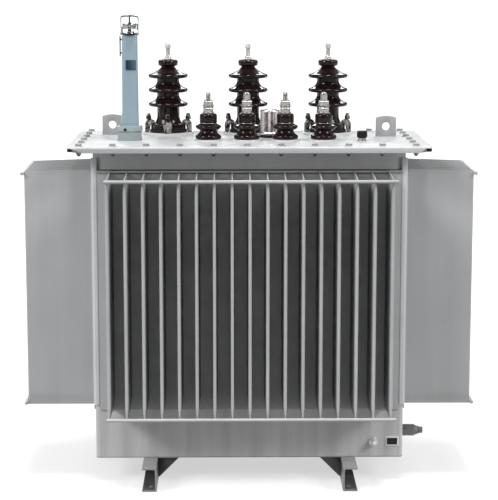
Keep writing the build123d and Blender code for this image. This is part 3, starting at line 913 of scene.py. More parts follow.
# %% [markdown]
# The cover is a plate with its front and back edges folded down over the flange. A press
# leaves a generous radius along such a fold. The lips stop short of the corners and are
# clipped at a slant, so the black gasket shows there: we pull the lips down along the whole
# edge, round the fold, and take the clipped ends away with a Boolean.

# %% cover plate
cover_low, cover_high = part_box("cover_plate")
COVER_THICK, FOLD_RADIUS, CORNER_CLIP = 5.0, 6.5, 3.5
LIP_ENDS = {-1: (9.0, 38.0), 1: (17.0, 16.0)}
CORNERS = [(side, front) for side in (-1, 1) for front in (-1, 1)]
under = cover_high.z - COVER_THICK * MM
fold_y = cover_high.y - COVER_THICK * MM
drop = under - cover_low.z


def folded(edge):
    """The long upper edges of the cover, where the lips turn down."""
    return sharp(edge) and middle(edge).z > cover_high.z - 1e-4 and abs(middle(edge).y) > fold_y


cover = block("cover", (cover_low.x, cover_low.y, under), cover_high)
with editing(cover):
    for side in (-1, 1):
        cut((0.0, side * fold_y, 0.0), (0.0, 1.0, 0.0))
    pick("FACE", lambda f: f.normal.z < -0.5 and abs(middle(f).y) > fold_y)
    bpy.ops.mesh.extrude_region_move(TRANSFORM_OT_translate={"value": (0.0, 0.0, -drop)})
    pick("EDGE", lambda e: e.is_manifold and e.calc_face_angle() < 0.01)
    bpy.ops.mesh.dissolve_edges(use_verts=True)
    ease(FOLD_RADIUS, 6, folded)
for side, front in CORNERS:
    short, clip = LIP_ENDS[side]
    cover_end = side * cover_high.x
    lip_end = cover_end - side * short * MM
    wedge = block(
        "wedge",
        (lip_end, front * (fold_y - 0.5 * MM), under - 2 * drop),
        (cover_end + side * 10 * MM, front * (fold_y + 20 * MM), under - 0.1 * MM),
    )
    with editing(wedge):
        pick("VERT", lambda v: v.co.z < under - drop and abs(v.co.x - lip_end) < 1e-4)
        bpy.ops.transform.translate(value=mm(-2 * side * clip, 0, 0))
    drilled(cover, wedge)
with editing(cover):
    for side, front in CORNERS:
        bpy.ops.mesh.select_all(action="SELECT")
        corner = (side * (cover_high.x - CORNER_CLIP * MM), front * cover_high.y, 0.0)
        bpy.ops.mesh.bisect(plane_co=corner, plane_no=(side, front, 0.0), use_fill=True, clear_outer=True)
    ease(0.9, 2, lambda e: sharp(e) and e.calc_length() > 0.02)
done(cover, "tank_paint", cover_paint, "cover_plate", angle=40)

# %% [markdown]
# The black gasket lies between the cover and the flange. Its swollen corners show in the
# gaps that the clipped lips leave, so a small eased block is squeezed out at each one.

# %% gasket corners
GASKET_IN, GASKET_OUT = (503.5, 244.0, 978.0), (517.0, 257.0, 988.0)
ends = []
for side, front in CORNERS:
    inner, outer = (mm(side * x, front * y, z) for x, y, z in (GASKET_IN, GASKET_OUT))
    end = block("gasket_end", inner, outer)
    with editing(end):
        ease(2.5, 3)
    ends.append(end)
done(joined("gasket_ends", ends), "black_rubber", rubber)

# %% [markdown]
# Bolts hold the cover down all round: eleven along the front and back and four more at
# each end. One bolt is modelled with its washer and chamfered head above the cover, and
# its nut and stud end under the flange. Then it is copied round the edge.

# %% cover bolts
def hex_head(name, at, radius, height, chamfer=1.2):
    """A six-sided head or nut with its corners eased, sizes in mm."""
    piece = rod(name, at, radius * MM, height * MM, 6)
    with editing(piece):
        ease(chamfer, 2, lambda e: sharp(e) and not upright(e))
        ease(0.5, 1, lambda e: sharp(e) and upright(e))
    return piece


def washer(name, at, radius, height):
    """A flat washer or a plain pin with an eased rim, sizes in mm."""
    return turned(name, at, [(0, 0), (radius, 0, 0.4), (radius, height, 0.6), (0, height)], 24, 2)


def stud(name, at, radius, height, pitch=2.0, tip=1.5):
    """A threaded stud: a zigzag outline, spun, with a tapered tip."""
    outline = [(0, 0), (radius, 0)]
    z = 0.0
    while z + pitch < height - tip:
        outline += [(radius * 0.88, z + pitch * 0.5), (radius, z + pitch)]
        z += pitch
    outline += [(radius * 0.95, height - tip), (radius * 0.7, height, 0.5), (0, height)]
    return turned(name, at, outline, 16, 2)


BOLT_X, BOLT_Y, FRONT_BOLTS, END_BOLTS, ROW_SHIFT = 479.5, 239.0, 11, 6, -6.0
WASHER_HIGH, NUT_HIGH, STUD_LONG, FLANGE_THICK = 2.2, 6.0, 10.0, 8.0
flange_foot = box_mm("upper_frame")[1].z - FLANGE_THICK
cover_top = cover_high.z / MM
corner = (ROW_SHIFT - BOLT_X, -BOLT_Y)
one_washer = washer("cover_washer", mm(*corner, cover_top), 11.5, WASHER_HIGH)
one_head = hex_head("cover_bolt", mm(*corner, cover_top + WASHER_HIGH), 10.2, 5.6)
one_nut = joined("cover_nut", [
    hex_head("nut", mm(*corner, flange_foot - NUT_HIGH), 8.2, NUT_HIGH),
    stud("end", mm(*corner, flange_foot - STUD_LONG), 5.0, STUD_LONG),
])


def round_the_edge(piece, name):
    """Copy a bolt or a nut from the corner along all four edges of the cover."""
    front_step = 2 * BOLT_X / (FRONT_BOLTS - 1)
    end_step = 2 * BOLT_Y / (END_BOLTS - 1)
    end_row = in_row(copied(piece, "end_row", mm(0, end_step, 0)), END_BOLTS - 2, mm(0, end_step, 0))
    front_row = in_row(piece, FRONT_BOLTS, mm(front_step, 0, 0))
    back_row = copied(front_row, "back_row", mm(0, 2 * BOLT_Y, 0))
    far_row = copied(end_row, "far_row", mm(2 * BOLT_X, 0, 0))
    return joined(name, [front_row, back_row, end_row, far_row])


done(round_the_edge(one_washer, "cover_washers"), "tank_paint", cover_paint)
done(round_the_edge(one_head, "cover_bolts"), "tank_paint", bolt_paint)
done(round_the_edge(one_nut, "cover_nuts"), "plated_steel", dark_steel)

# %% [markdown]
# A lifting lug is a thick plate with an eye, welded to the cover. We fill the CAD lug's
# outline again from a cube: the top is cut into facets, which are let down towards the
# ends to make a low arch, the eye is drilled by a Boolean, and then every edge is eased.

# %% lifting lugs
LUG_ARCH, LUG_FACETS, EYE_R, EYE_HEIGHT = 5.0, 10, 12.0, 34.0


def lug(name, node):
    """One lug with an arched top and a drilled eye."""
    low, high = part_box(node)
    half = (high.x - low.x) / 2
    facets = [low.x + 2 * half * i / LUG_FACETS for i in range(LUG_FACETS + 1)]
    piece = block(name, low, high)
    with editing(piece):
        for at in facets[1:-1]:
            cut((at, 0.0, 0.0), (1.0, 0.0, 0.0))
        for at in facets:
            pick("VERT", lambda v: v.co.z > high.z - 1e-4 and abs(v.co.x - at) < 1e-4)
            sink = LUG_ARCH * MM * ((at - low.x) / half - 1.0) ** 2
            bpy.ops.transform.translate(value=(0.0, 0.0, -sink))
    drill = rod("drill", mm(0, 0, -50), EYE_R * MM, 100 * MM, 40)
    drilled(piece, laid(drill, foot_of(node) + mm(0, 0, EYE_HEIGHT), TO_FRONT))
    with editing(piece):
        ease(1.6, 2)
    return piece


for side in ("left", "right"):
    done(lug(f"lug_{side}", f"lifting_lug_{side}"), "tank_paint", lug_paint, f"lifting_lug_{side}")

# %% [markdown]
# Bushings carry the current through the cover. They are thrown on a wheel, so we do the
# same: draw half of the outline as a chain of points, round its corners, and spin it. The
# tall ones have three umbrella-like sheds that keep rain from making a path down them.

# %% high voltage porcelain
HV_SHED_R, HV_BODY_R, HV_NECK_R, HV_CAP_R, RIM_R = 60.0, 34.0, 20.0, 30.0, 5.8
SHED_FEET = (70.5, 113.5, 156.5)
hv_at = foot_of("hv_bushing_1")
hv_steps = [foot_of(f"hv_bushing_{i}") - hv_at for i in (1, 2, 3)]
hv_top = height_of("hv_bushing_1")
cap_foot = hv_top - 20.0


def bead(radius, height, size, first=-90, last=90):
    """Points round the rolled rim of a shed: an arc that bulges outwards."""
    turns = [math.radians(turn) for turn in range(first, last + 1, 30)]
    return [(radius - size + size * math.cos(turn), height + size * math.sin(turn)) for turn in turns]


hv_outline = [(0, 0), (53, 0, 2), (53, 18, 3), (41, 18, 1), (HV_BODY_R + 0.5, 33, 5)]
for foot in SHED_FEET:
    hv_outline += [(HV_BODY_R, foot + 5, 3), (49, foot + 3.5, 3), *bead(HV_SHED_R, foot + RIM_R, RIM_R)]
    if foot == SHED_FEET[-1]:
        hv_outline += [(46, foot + 14, 6), (32, foot + 22, 8), (HV_NECK_R, foot + 32, 4)]
    else:
        hv_outline += [(47, foot + 14, 5), (39, foot + 19.5, 5), (HV_BODY_R, foot + 28, 4)]
hv_outline += [
    (HV_NECK_R, cap_foot, 0.8), (HV_CAP_R, cap_foot, 6), (HV_CAP_R, hv_top - 1, 8), (14, hv_top, 2), (0, hv_top),
]
hv_set = at_steps(turned("hv_porcelain_1", hv_at, hv_outline, 64), "hv_porcelain", hv_steps)
for i, piece in enumerate(hv_set, 1):
    done(piece, "brown_porcelain", porcelain, f"hv_bushing_{i}", angle=40)

# %% [markdown]
# The squat low voltage bushings have a bell foot, one shed and a barrel head. A pale ring
# shows between the shed and the head, where the upper porcelain sits on its gasket.

# %% low voltage porcelain
lv_at = foot_of("lv_bushing_1")
lv_steps = [foot_of(f"lv_bushing_{i}") - lv_at for i in (1, 2, 3, 4)]
RING_FOOT, RING_R, RING_HIGH = 46.6, 24.8, 2.1
lv_outline = [
    (0, 0), (35, 0, 1), (38, 3, 2), (38, 10.5, 3.5), (30.5, 14.5, 3), (25.5, 20.5, 3), (24, 26, 3),
    (33, 29.5, 1.5), *bead(37.5, 36.4, 4.8, -60, 90),
    (28, 43.5, 2.5), (23.5, 46.5), (23.5, 48.5), (25.5, 49.5, 2), (25.5, 75, 7), (17, 76, 1.5), (0, 76),
]
ring_outline = [(0, 0), (RING_R, 0, 0.5), (RING_R, RING_HIGH, 0.5), (0, RING_HIGH)]
lv_set = at_steps(turned("lv_porcelain_1", lv_at, lv_outline, 56), "lv_porcelain", lv_steps)
lv_rings = at_steps(turned("lv_ring_1", lv_at + mm(0, 0, RING_FOOT), ring_outline, 40, 2), "lv_ring", lv_steps)
for i, piece in enumerate(lv_set, 1):
    done(piece, "brown_porcelain", porcelain, f"lv_bushing_{i}", angle=40)
done(joined("lv_rings", lv_rings), "plated_steel", plated)

# %% [markdown]
# On top of each bushing is the terminal: a threaded stud with its nuts and washers. The
# low voltage ones carry heavy current, so theirs are a thick stack; the high voltage ones
# are thin, with a flanged nut at the foot and a pair of nuts near the tip.

# %% terminals
def lv_terminal(name, at, tip):
    """Stack of washers and nuts on a thick stud; the tip is a bare stud or one with a cap nut."""
    pieces = [
        washer("foot", at, 17.4, 3.0),
        hex_head("lower_nut", at + mm(0, 0, 3), 17.0, 13.0, 1.6),
        washer("lower_washer", at + mm(0, 0, 16), 15.0, 3.4),
        washer("upper_washer", at + mm(0, 0, 20.6), 17.4, 3.0),
        hex_head("upper_nut", at + mm(0, 0, 23.6), 16.6, 12.5, 2.0),
        washer("lock", at + mm(0, 0, 36.1), 12.5, 2.6),
    ]
    if tip == "cap":
        cap_outline = [(0, 0), (9.8, 0, 1), (9.8, 17, 1.5), (8.6, 21.3, 2), (0, 21.8)]
        pieces.append(turned("cap", at + mm(0, 0, 38.7), cap_outline, 24, 3))
    pieces.append(stud("stud", at, 6.8, 61.0, 2.5, 2.5))
    return joined(name, pieces)


def hv_terminal(name, at):
    """Thin stud with a flanged nut below and a pair of nuts near its tip."""
    return joined(name, [
        washer("flange", at, 12.0, 2.4),
        hex_head("lower_nut", at + mm(0, 0, 2.4), 11.4, 8.0),
        hex_head("upper_nut", at + mm(0, 0, 33.5), 9.8, 7.0),
        washer("washer", at + mm(0, 0, 40.5), 10.0, 1.6),
        hex_head("lock_nut", at + mm(0, 0, 42.1), 9.0, 6.0),
        stud("stud", at, 6.8, 52.0, 1.8, 2.0),
    ])


for i in (1, 2, 3):
    node = f"hv_terminal_{i}"
    done(hv_terminal(f"hv_stud_{i}", foot_of(node)), "plated_steel", tinned, node)
for i in (1, 2, 3, 4):
    node, tip = f"lv_terminal_{i}", "cap" if i % 2 == 0 else "stud"
    done(lv_terminal(f"lv_stud_{i}", foot_of(node), tip), "plated_steel", plated, node)

# %% [markdown]
# Four cast claws clamp each tall bushing by its foot. A casting has no sharp edges: the
# claw is a cube with a lip pulled out over the porcelain, narrowed at its foot and its top
# and rounded all over. Its stud and nut stand on top. A thick black gasket lies under the
# porcelain.

# %% clamps
CLAW_IN, CLAW_OUT, CLAW_HALF, CLAW_HIGH = 53.3, 71.3, 14.5, 39.8
CLAW_LIP, LIP_LOW, STUD_OUT = 11.7, 26.8, 7.0
clamp_at = foot_of("hv_clamp_1")
x, y, z = clamp_at / MM
claw = block("claw", mm(x - CLAW_HALF, y - CLAW_OUT, z), mm(x + CLAW_HALF, y - CLAW_IN, z + CLAW_HIGH))
with editing(claw):
    cut(mm(0, 0, z + LIP_LOW), (0.0, 0.0, 1.0))
    pick("FACE", lambda f: f.normal.y > 0.5 and middle(f).z > (z + LIP_LOW) * MM)
    bpy.ops.mesh.extrude_region_move(TRANSFORM_OT_translate={"value": mm(0, CLAW_LIP, 0)})
    pick("VERT", lambda v: v.co.z < (z + 1) * MM)
    bpy.ops.transform.resize(value=(0.68, 1.0, 1.0), center_override=clamp_at)
    pick("VERT", lambda v: v.co.z > (z + CLAW_HIGH - 1) * MM)
    bpy.ops.transform.resize(value=(0.5, 1.0, 1.0), center_override=clamp_at)
    pick("VERT", lambda v: v.co.z > (z + CLAW_HIGH - 1) * MM and v.co.y < (y - CLAW_OUT + 1) * MM)
    bpy.ops.transform.translate(value=mm(0, 7, -1))
    pick("VERT", lambda v: v.co.z > (z + CLAW_HIGH - 1) * MM and v.co.y > (y - CLAW_IN + 1) * MM)
    bpy.ops.transform.translate(value=mm(0, 0, -5))
    pick("VERT", lambda v: v.co.z < (z + 1) * MM and v.co.y > (y - CLAW_IN - 1) * MM)
    bpy.ops.transform.translate(value=mm(0, -5, 0))
    ease(4.0, 4)
stud_at = mm(x, y - CLAW_IN - STUD_OUT, z + CLAW_HIGH)
claw_stud = joined("claw_stud", [
    washer("washer", stud_at + mm(0, 0, -0.4), 8.5, 2.0),
    hex_head("nut", stud_at + mm(0, 0, 1.6), 8.4, 8.0, 2.0),
    turned("tip", stud_at + mm(0, 0, 9), [(0, 0), (6.2, 0), (6.2, 8.8, 5.0), (0, 8.8)], 20, 4),
])


def round_the_bushing(piece, name):
    """Three more copies of a piece, a quarter turn apart, joined to it."""
    axis = Vector((clamp_at.x, clamp_at.y, 0.0))
    turns = [(turn, Matrix.Rotation(math.radians(turn), 3, "Z")) for turn in (90, 180, 270)]
    return joined(name, [piece] + [copied(piece, name, axis - spun @ axis, turn) for turn, spun in turns])


claw_sets = at_steps(round_the_bushing(claw, "hv_claws_1"), "hv_claws", hv_steps)
gasket_outline = [(0, 0), (56, 0, 1), (56, 4, 1), (54.5, 4.3), (56, 4.6, 1), (56, 8.5, 1), (0, 8.5)]
rings = at_steps(turned("hv_gasket_1", clamp_at, gasket_outline, 48, 3), "hv_gasket", hv_steps)
nut_sets = at_steps(round_the_bushing(claw_stud, "hv_claw_nuts_1"), "hv_claw_nuts", hv_steps)
for i, (piece, nuts) in enumerate(zip(claw_sets, nut_sets), 1):
    done(piece, "cast_clamp", cast_clamp, f"hv_clamp_{i}", angle=50)
    done(nuts, "cast_clamp", cast_clamp)
done(joined("hv_gaskets", rings), "black_rubber", rubber)

# %% [markdown]
# Round pads and rings are welded to the cover under the bushings, so that the gaskets have
# a flat seat. A weld is a row of ripples: one short barrel, repeated along a line, or a
# ring whose every other section is swollen.

# %% seats and welds
RING_RIPPLE, RING_SWELL, LINE_RIPPLE, LINE_SWELL = 1.1, 0.16, 1.3, 1.2


def ring_weld(name, at, radius, size):
    """A weld round a circle, rippled by swelling every other section, sizes in mm."""
    sections = 2 * int(radius * math.tau / (size * RING_RIPPLE))
    weld = add(
        bpy.ops.mesh.primitive_torus_add, name, major_segments=sections, minor_segments=8,
        major_radius=radius * MM, minor_radius=size * MM, location=at,
    )

    def swollen(v):
        angle = math.atan2(v.co.y - at[1], v.co.x - at[0])
        return round(angle / (math.tau / sections)) % 2 == 0

    with editing(weld):
        pick("VERT", swollen)
        bpy.ops.transform.shrink_fatten(value=size * RING_SWELL * MM)
    return weld


def line_weld(name, start, end, size):
    """A straight weld, its size in mm: one open barrel-shaped ripple, repeated, sewn up and closed."""
    run = Vector(end) - Vector(start)
    count = max(3, int(run.length / (size * LINE_RIPPLE * MM)))
    pitch = run.length / count
    ripple = rod(name, ORIGIN, size * MM, pitch, 10)
    with editing(ripple):
        cut((0.0, 0.0, pitch / 2), (0.0, 0.0, 1.0))
        pick("VERT", lambda v: abs(v.co.z - pitch / 2) < 1e-6)
        bpy.ops.transform.resize(value=(LINE_SWELL, LINE_SWELL, 1.0), center_override=ORIGIN)
        pick("FACE", lambda f: abs(f.normal.z) > 0.9)
        bpy.ops.mesh.delete(type="FACE")
    in_row(ripple, count, (0.0, 0.0, pitch))
    with editing(ripple):
        bpy.ops.mesh.remove_doubles(threshold=1e-5)
        bpy.ops.mesh.fill_holes(sides=0)
    return laid(ripple, start, run.to_track_quat("Z", "Y").to_euler())


seats, cover_welds = [], []


def seat(at, radius, height, sides, weld_gap, weld_up, weld_size):
    """A round seat on the cover under one bushing, and the weld round it, sizes in mm."""
    foot = Vector((at.x, at.y, cover_high.z))
    seats.append(turned("seat", foot, [(0, 0), (radius, 0), (radius, height, 1.2), (0, height)], sides, 3))
    cover_welds.append(ring_weld("seat_weld", foot + mm(0, 0, weld_up), radius + weld_gap, weld_size))


for step in hv_steps:
    seat(hv_at + step, radius=74.0, height=6.0, sides=64, weld_gap=0.6, weld_up=0.8, weld_size=2.4)
for step in lv_steps:
    seat(lv_at + step, radius=41.0, height=5.0, sides=48, weld_gap=0.4, weld_up=0.6, weld_size=1.8)
done(joined("seats", seats), "tank_paint", cover_paint, "bushing_seats")

LUG_WELD, LUG_WELD_OUT = 2.0, 1.0 * MM
for side in ("left", "right"):
    low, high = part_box(f"lifting_lug_{side}")
    z = low.z + LUG_WELD_OUT
    for y in (low.y - LUG_WELD_OUT, high.y + LUG_WELD_OUT):
        cover_welds.append(line_weld("lug_weld", (low.x, y, z), (high.x, y, z), LUG_WELD))
    for x in (low.x - LUG_WELD_OUT, high.x + LUG_WELD_OUT):
        cover_welds.append(line_weld("lug_weld", (x, low.y, z), (x, high.y, z), LUG_WELD))
done(joined("cover_welds", cover_welds), "tank_paint", cover_paint, angle=60)

# %% [markdown]
# The tank itself is welded together too: the trough to the walls, the walls to the corner posts, the gussets to
# the floor. Above the fins the wall sheets end in a rounded edge, and over it a narrow near-black strip is painted
# shadow in the gap at the joint. We lay the same straight weld along each seam, and make the edge and the dark
# strip from long cubes with eased sides.

# %% tank welds
STRIP_X, STRIP_Y = 437.0, 187.0
LAP_LEVEL, LAP_IN, LAP_WELD = 217.0, 3.0, 3.2
POST_LOW, POST_HIGH, POST_WELD = 232.0, 924.0, 2.2
GUSSET_THICK, GUSSET_WELD = 6.0 * MM, 2.6


def wall_strips(name, out, half, low, high):
    """A strip along each wall, its middle a little out of the wall's face, sizes in mm."""
    strips = []
    for side in (-1, 1):
        y, x = side * (TANK_HALF_DEPTH + out), side * (TANK_HALF_WIDTH + out)
        strips.append(block(name, mm(-STRIP_X, y - half, low), mm(STRIP_X, y + half, high)))
        strips.append(block(name, mm(x - half, -STRIP_Y, low), mm(x + half, STRIP_Y, high)))
    return strips


tank_welds = []
for side in (-1, 1):
    y, x = side * (TANK_HALF_DEPTH - LAP_IN), side * (TANK_HALF_WIDTH - LAP_IN)
    for start, end in (((1 - STRIP_X, y), (STRIP_X - 1, y)), ((x, 1 - STRIP_Y), (x, STRIP_Y - 1))):
        tank_welds.append(line_weld("lap", mm(*start, LAP_LEVEL), mm(*end, LAP_LEVEL), LAP_WELD))
edges = wall_strips("edge", out=2.5, half=3.5, low=SHEET_HIGH - 7, high=SHEET_HIGH - 1)
# a near-black strip over each sheet's top: painted shadow in the gap at the joint
shadow_strips = wall_strips("joint", out=-2.5, half=1.5, low=SHEET_HIGH, high=SHEET_HIGH + 2.6)
for joint in shadow_strips:
    with editing(joint):
        ease(1.0, 2)
done(joined("joint_shadow_strips", shadow_strips), "black_rubber", shade_paint)
for edge in edges:
    with editing(edge):
        ease(2.6, 3, lambda e: sharp(e) and e.calc_length() > 0.1)
done(joined("sheet_edges", edges), "tank_paint", lug_paint)
for side, front in CORNERS:
    for x, y in ((439, 204), (454, 189)):
        foot, head = (mm(side * x, front * y, level) for level in (POST_LOW, POST_HIGH))
        tank_welds.append(line_weld("post", foot, head, POST_WELD))
for name in ("left", "right"):
    low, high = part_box(f"skid_gussets_{name}")
    for y in (low.y, low.y + GUSSET_THICK, high.y - GUSSET_THICK, high.y):
        start, end = Vector((low.x, y, high.z)) + mm(3, 0, -1), Vector((high.x, y, high.z)) + mm(-3, 0, -1)
        tank_welds.append(line_weld("gusset", start, end, GUSSET_WELD))
done(joined("tank_welds", tank_welds), "tank_paint", tank_paint, angle=60)

# %% [markdown]
# The tap changer hides under a bright drawn cap with a rolled rim, on a black gasket. The
# thermometer pocket beside it has a ribbed black cap on a plated collar.

# %% tap changer and thermometer
tap_outline = [
    (0, 0), (33, 0, 0.8), (33, 5, 1.5), (30, 6.5, 1), (29, 9, 1), (29, 64, 1), (29.5, 66, 1), (29.5, 71, 2.5),
    (26, 74, 1), (23, 73, 1), (22, 71, 1), (0, 71.5),
]
tap_cap = turned("tap_cap", foot_of("tap_changer_cap"), tap_outline, 64, 3)
done(tap_cap, "stainless", stainless, "tap_changer_cap", angle=40)
gasket_outline = [(0, 0), (31, 0, 1), (31, 4.2, 1), (30.2, 4.6), (31, 5, 1), (31, 9, 1), (0, 9)]
tap_gasket = turned("tap_gasket", foot_of("tap_changer_gasket"), gasket_outline, 48, 2)
done(tap_gasket, "black_rubber", rubber, "tap_changer_gasket")

pocket_at = foot_of("thermometer_pocket")
collar = joined("pocket_collar", [
    washer("foot", pocket_at, 13.0, 2.5),
    hex_head("hex", pocket_at + mm(0, 0, 2.5), 12.8, 6.5, 1.2),
])
done(collar, "plated_steel", plated, "thermometer_pocket")
KNOB_R, KNOB_SIDES, RIB_LOW, RIB_HIGH, RIB_OUT = 14.2, 48, 2.5, 16.5, 0.8
knob_at, knob_high = foot_of("thermometer_cap"), height_of("thermometer_cap") * MM


def rib(face):
    """Every other side of the knob, between its two cuts."""
    spot = middle(face) - knob_at
    turn = round(math.atan2(spot.y, spot.x) / (math.tau / KNOB_SIDES) - 0.5)
    return abs(face.normal.z) < 0.1 and RIB_LOW < spot.z / MM < RIB_HIGH and turn % 2 == 0


knob = rod("pocket_cap", knob_at, KNOB_R * MM, knob_high, KNOB_SIDES)
with editing(knob):
    for level in (RIB_LOW, RIB_HIGH):
        cut(knob_at + mm(0, 0, level), (0.0, 0.0, 1.0))
    pick("FACE", rib)
    bpy.ops.mesh.extrude_faces_move(TRANSFORM_OT_shrink_fatten={"value": RIB_OUT * MM})
    ease(2.0, 3, lambda e: sharp(e) and middle(e).z > knob_at.z + knob_high - 1e-4)
done(knob, "black_plastic", plastic, "thermometer_cap", angle=40)

# %% [markdown]
# The oil gauge is a tall square tube on a cast foot, with a clear dome on top in which a
# float shows the level. The foot is a cube whose right end is rounded; a groove round it
# marks the joint between its flange and its body. The tube tapers slightly upwards.

# %% gauge foot and column
LID_SHORT, LID_ROUND, LID_HIGH = 5.5, 29.9, 15.0
GROOVE, BODY_SHARE, HEAD_SHARE = 2.2, (0.92, 0.94, 1.0), 44.0 / 47.0
foot_low, foot_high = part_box("gauge_base")
lid_right = foot_high.x - LID_SHORT * MM
groove_high = foot_high.z - LID_HIGH * MM
groove_low = groove_high - GROOVE * MM
gauge_foot = block("gauge_foot", foot_low, (lid_right, foot_high.y, foot_high.z))
with editing(gauge_foot):
    ease(LID_ROUND, 10, lambda e: upright(e) and e.verts[0].co.x > lid_right - 1e-4)
    ease(4.0, 3, lambda e: upright(e) and e.verts[0].co.x < foot_low.x + 1e-4)
    for level in (groove_high, groove_low):
        cut((0.0, 0.0, level), (0.0, 0.0, 1.0))
    pick("FACE", lambda f: abs(f.normal.z) < 0.1 and groove_low < middle(f).z < groove_high)
    bpy.ops.mesh.extrude_region_shrink_fatten(TRANSFORM_OT_shrink_fatten={"value": -GROOVE * MM})
    pick("VERT", lambda v: v.co.z < groove_low + 0.0002)
    body_middle = ((foot_low.x + lid_right) / 2, foot_of("gauge_base").y, 0.0)
    bpy.ops.transform.resize(value=BODY_SHARE, center_override=body_middle)
    ease(1.2, 2, lambda e: sharp(e) and not groove_low - 0.0008 < middle(e).z < groove_high + 0.001)
done(gauge_foot, "gauge_paint", foot_paint, "gauge_base", angle=40)

column_low, column_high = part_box("gauge_column")
column_at = foot_of("gauge_column")
column = block("gauge_tube", column_low, column_high)
with editing(column):
    pick("VERT", lambda v: v.co.z > column_high.z - 1e-4)
    bpy.ops.transform.resize(value=(HEAD_SHARE, HEAD_SHARE, 1.0), center_override=column_at)
    ease(5.0, 5, lambda e: abs(e.verts[0].co.z - e.verts[1].co.z) > 0.1)
    ease(1.5, 2, lambda e: sharp(e) and middle(e).z > column_high.z - 1e-3)
collar_top = Vector((column_high.x, column_high.y, column_low.z)) + mm(0.6, 0.6, 12)
collar = block("gauge_collar", column_low + mm(-0.6, -0.6, 9), collar_top)
with editing(collar):
    ease(5.5, 5, upright)
    ease(1.0, 2, lambda e: sharp(e) and not upright(e))
done(joined("gauge_tube", [column, collar]), "gauge_paint", gauge_paint, "gauge_column", angle=40)

# %% [markdown]
# The dome is a thin clear shell: its outline runs up the outside and down the inside before
# it is spun, so light bends through two skins as in the real one. Inside are the float on
# its rod, a bright cage that guides it, a few pins and a flat guard round them.

# %% gauge dome, seal and float
dome_at, top = foot_of("gauge_dome"), height_of("gauge_dome")
rod_top = top - 1.6
shell = [
    (26.4, 3), (28, 3, 0.4), (28, 5.5, 0.6), (27.4, 6.5, 0.5), (27.0, top - 7, 4.5), (20, top, 6), (0, top),
    (0, top - 1.0), (19.6, top - 1.0, 5), (26.0, top - 7.4, 4), (26.4, 6.5), (26.4, 3),
]
seal_outline = [(0, 0), (27.6, 0, 0.8), (27.6, 2.9, 0.8), (0, 2.9)]
float_outline = [
    (0, rod_top - 30), (2.6, rod_top - 30, 0.8), (4.6, rod_top - 27, 1.2), (4.6, rod_top - 23, 1.2),
    (2.0, rod_top - 20, 1), (2.0, rod_top - 3, 1), (4.5, rod_top - 1.5, 0.5), (4.5, rod_top, 0.3), (0, rod_top),
]
cage_outline = [
    (14, 17, 0.6), (21, 17, 0.6), (21, 19.5, 0.6), (17.5, 21, 0.6), (21, 26, 0.6), (20, 32, 0.6), (15, 31, 0.6),
    (14, 17, 0.6),
]
seat_outline = [(0, 3), (20, 3, 1), (20, 5, 1), (6, 6, 1), (4, 18, 1), (0, 18)]
done(turned("gauge_window", dome_at, shell, 56, 4), "clear_dome", dome_clear, "gauge_dome", angle=40)
done(turned("gauge_seal", dome_at, seal_outline, 48, 3), "black_rubber", rubber)
marker = joined("gauge_marker", [
    turned("pointer", dome_at, float_outline, 24, 3),
    washer("peg", dome_at + mm(11.5, -14, 4), 2.4, 6.0),
    washer("stop", dome_at + mm(-21.5, -6, 4), 1.6, 20.0),
    washer("guide", dome_at + mm(23.2, -4, 14), 1.3, 17.0),
])
done(marker, "black_plastic", plastic, "gauge_float", angle=40)
cage = [turned("cage", dome_at, cage_outline, 24, 2), turned("seat", dome_at, seat_outline, 32, 2)]
done(joined("gauge_cage", cage), "plated_steel", plated, angle=40)
guard = [
    block("guard", dome_at + mm(24.4, -3, 5), dome_at + mm(25.8, 3, top - 9)),
    block("guard", dome_at + mm(-25.8, -3, 5), dome_at + mm(-24.4, 3, top - 9)),
    block("guard", dome_at + mm(-2, -3, top - 3.2), dome_at + mm(19.5, 3, top - 1.8)),
]
for bar in guard:
    with editing(bar):
        ease(0.5, 2)
done(joined("gauge_guard", guard), "plated_steel", dark_steel)

# %% [markdown]
# Small things make it believable. A bare blue plate is riveted to the gauge: its border and its lighter right side
# are drawn by nodes, and its rivets are turned.

# %% gauge plate
def plate_finish(name, field, border, half, at, margin, pale_side=None):
    """A bare plate: a field inside a border, with a fine grain, perhaps lighter towards its right."""
    made, tree, shader = finish_on(name)
    centred = place(tree, shift=tuple(-c for c in at))
    spot = put(tree, "ShaderNodeSeparateXYZ", inputs={0: centred}).outputs
    across = calc(tree, "SUBTRACT", calc(tree, "ABSOLUTE", spot["X"]), half[0] - margin)
    up = calc(tree, "SUBTRACT", calc(tree, "ABSOLUTE", spot["Z"]), half[1] - margin)
    rim = remap(tree, calc(tree, "MAXIMUM", across, up), -0.0003, 0.0003, 0.0, 1.0)
    skin = use(tree, grain_group, {"Color": (*field, 1.0), "Scale": 260.0, "Contrast": 0.25})
    face = skin["Color"]
    if pale_side:
        streak = remap(tree, noise(tree, place(tree, (420.0, 1.0, 20.0)), 1.0, 2.0), 0.35, 0.65, -0.3, 0.3)
        towards_right = calc(tree, "ADD", remap(tree, spot["X"], -half[0], half[0], -0.35, 0.75), streak)
        face = mix(tree, towards_right, face, pale_side)
    shade = mix(tree, rim, face, border)
    feed(tree, shader, {"Base Color": shade, "Roughness": skin["Roughness"], "Specular IOR Level": 0.15})
    bump(tree, shader, skin["Height"], 0.0001)
    return made


RIVET_IN = 2.8


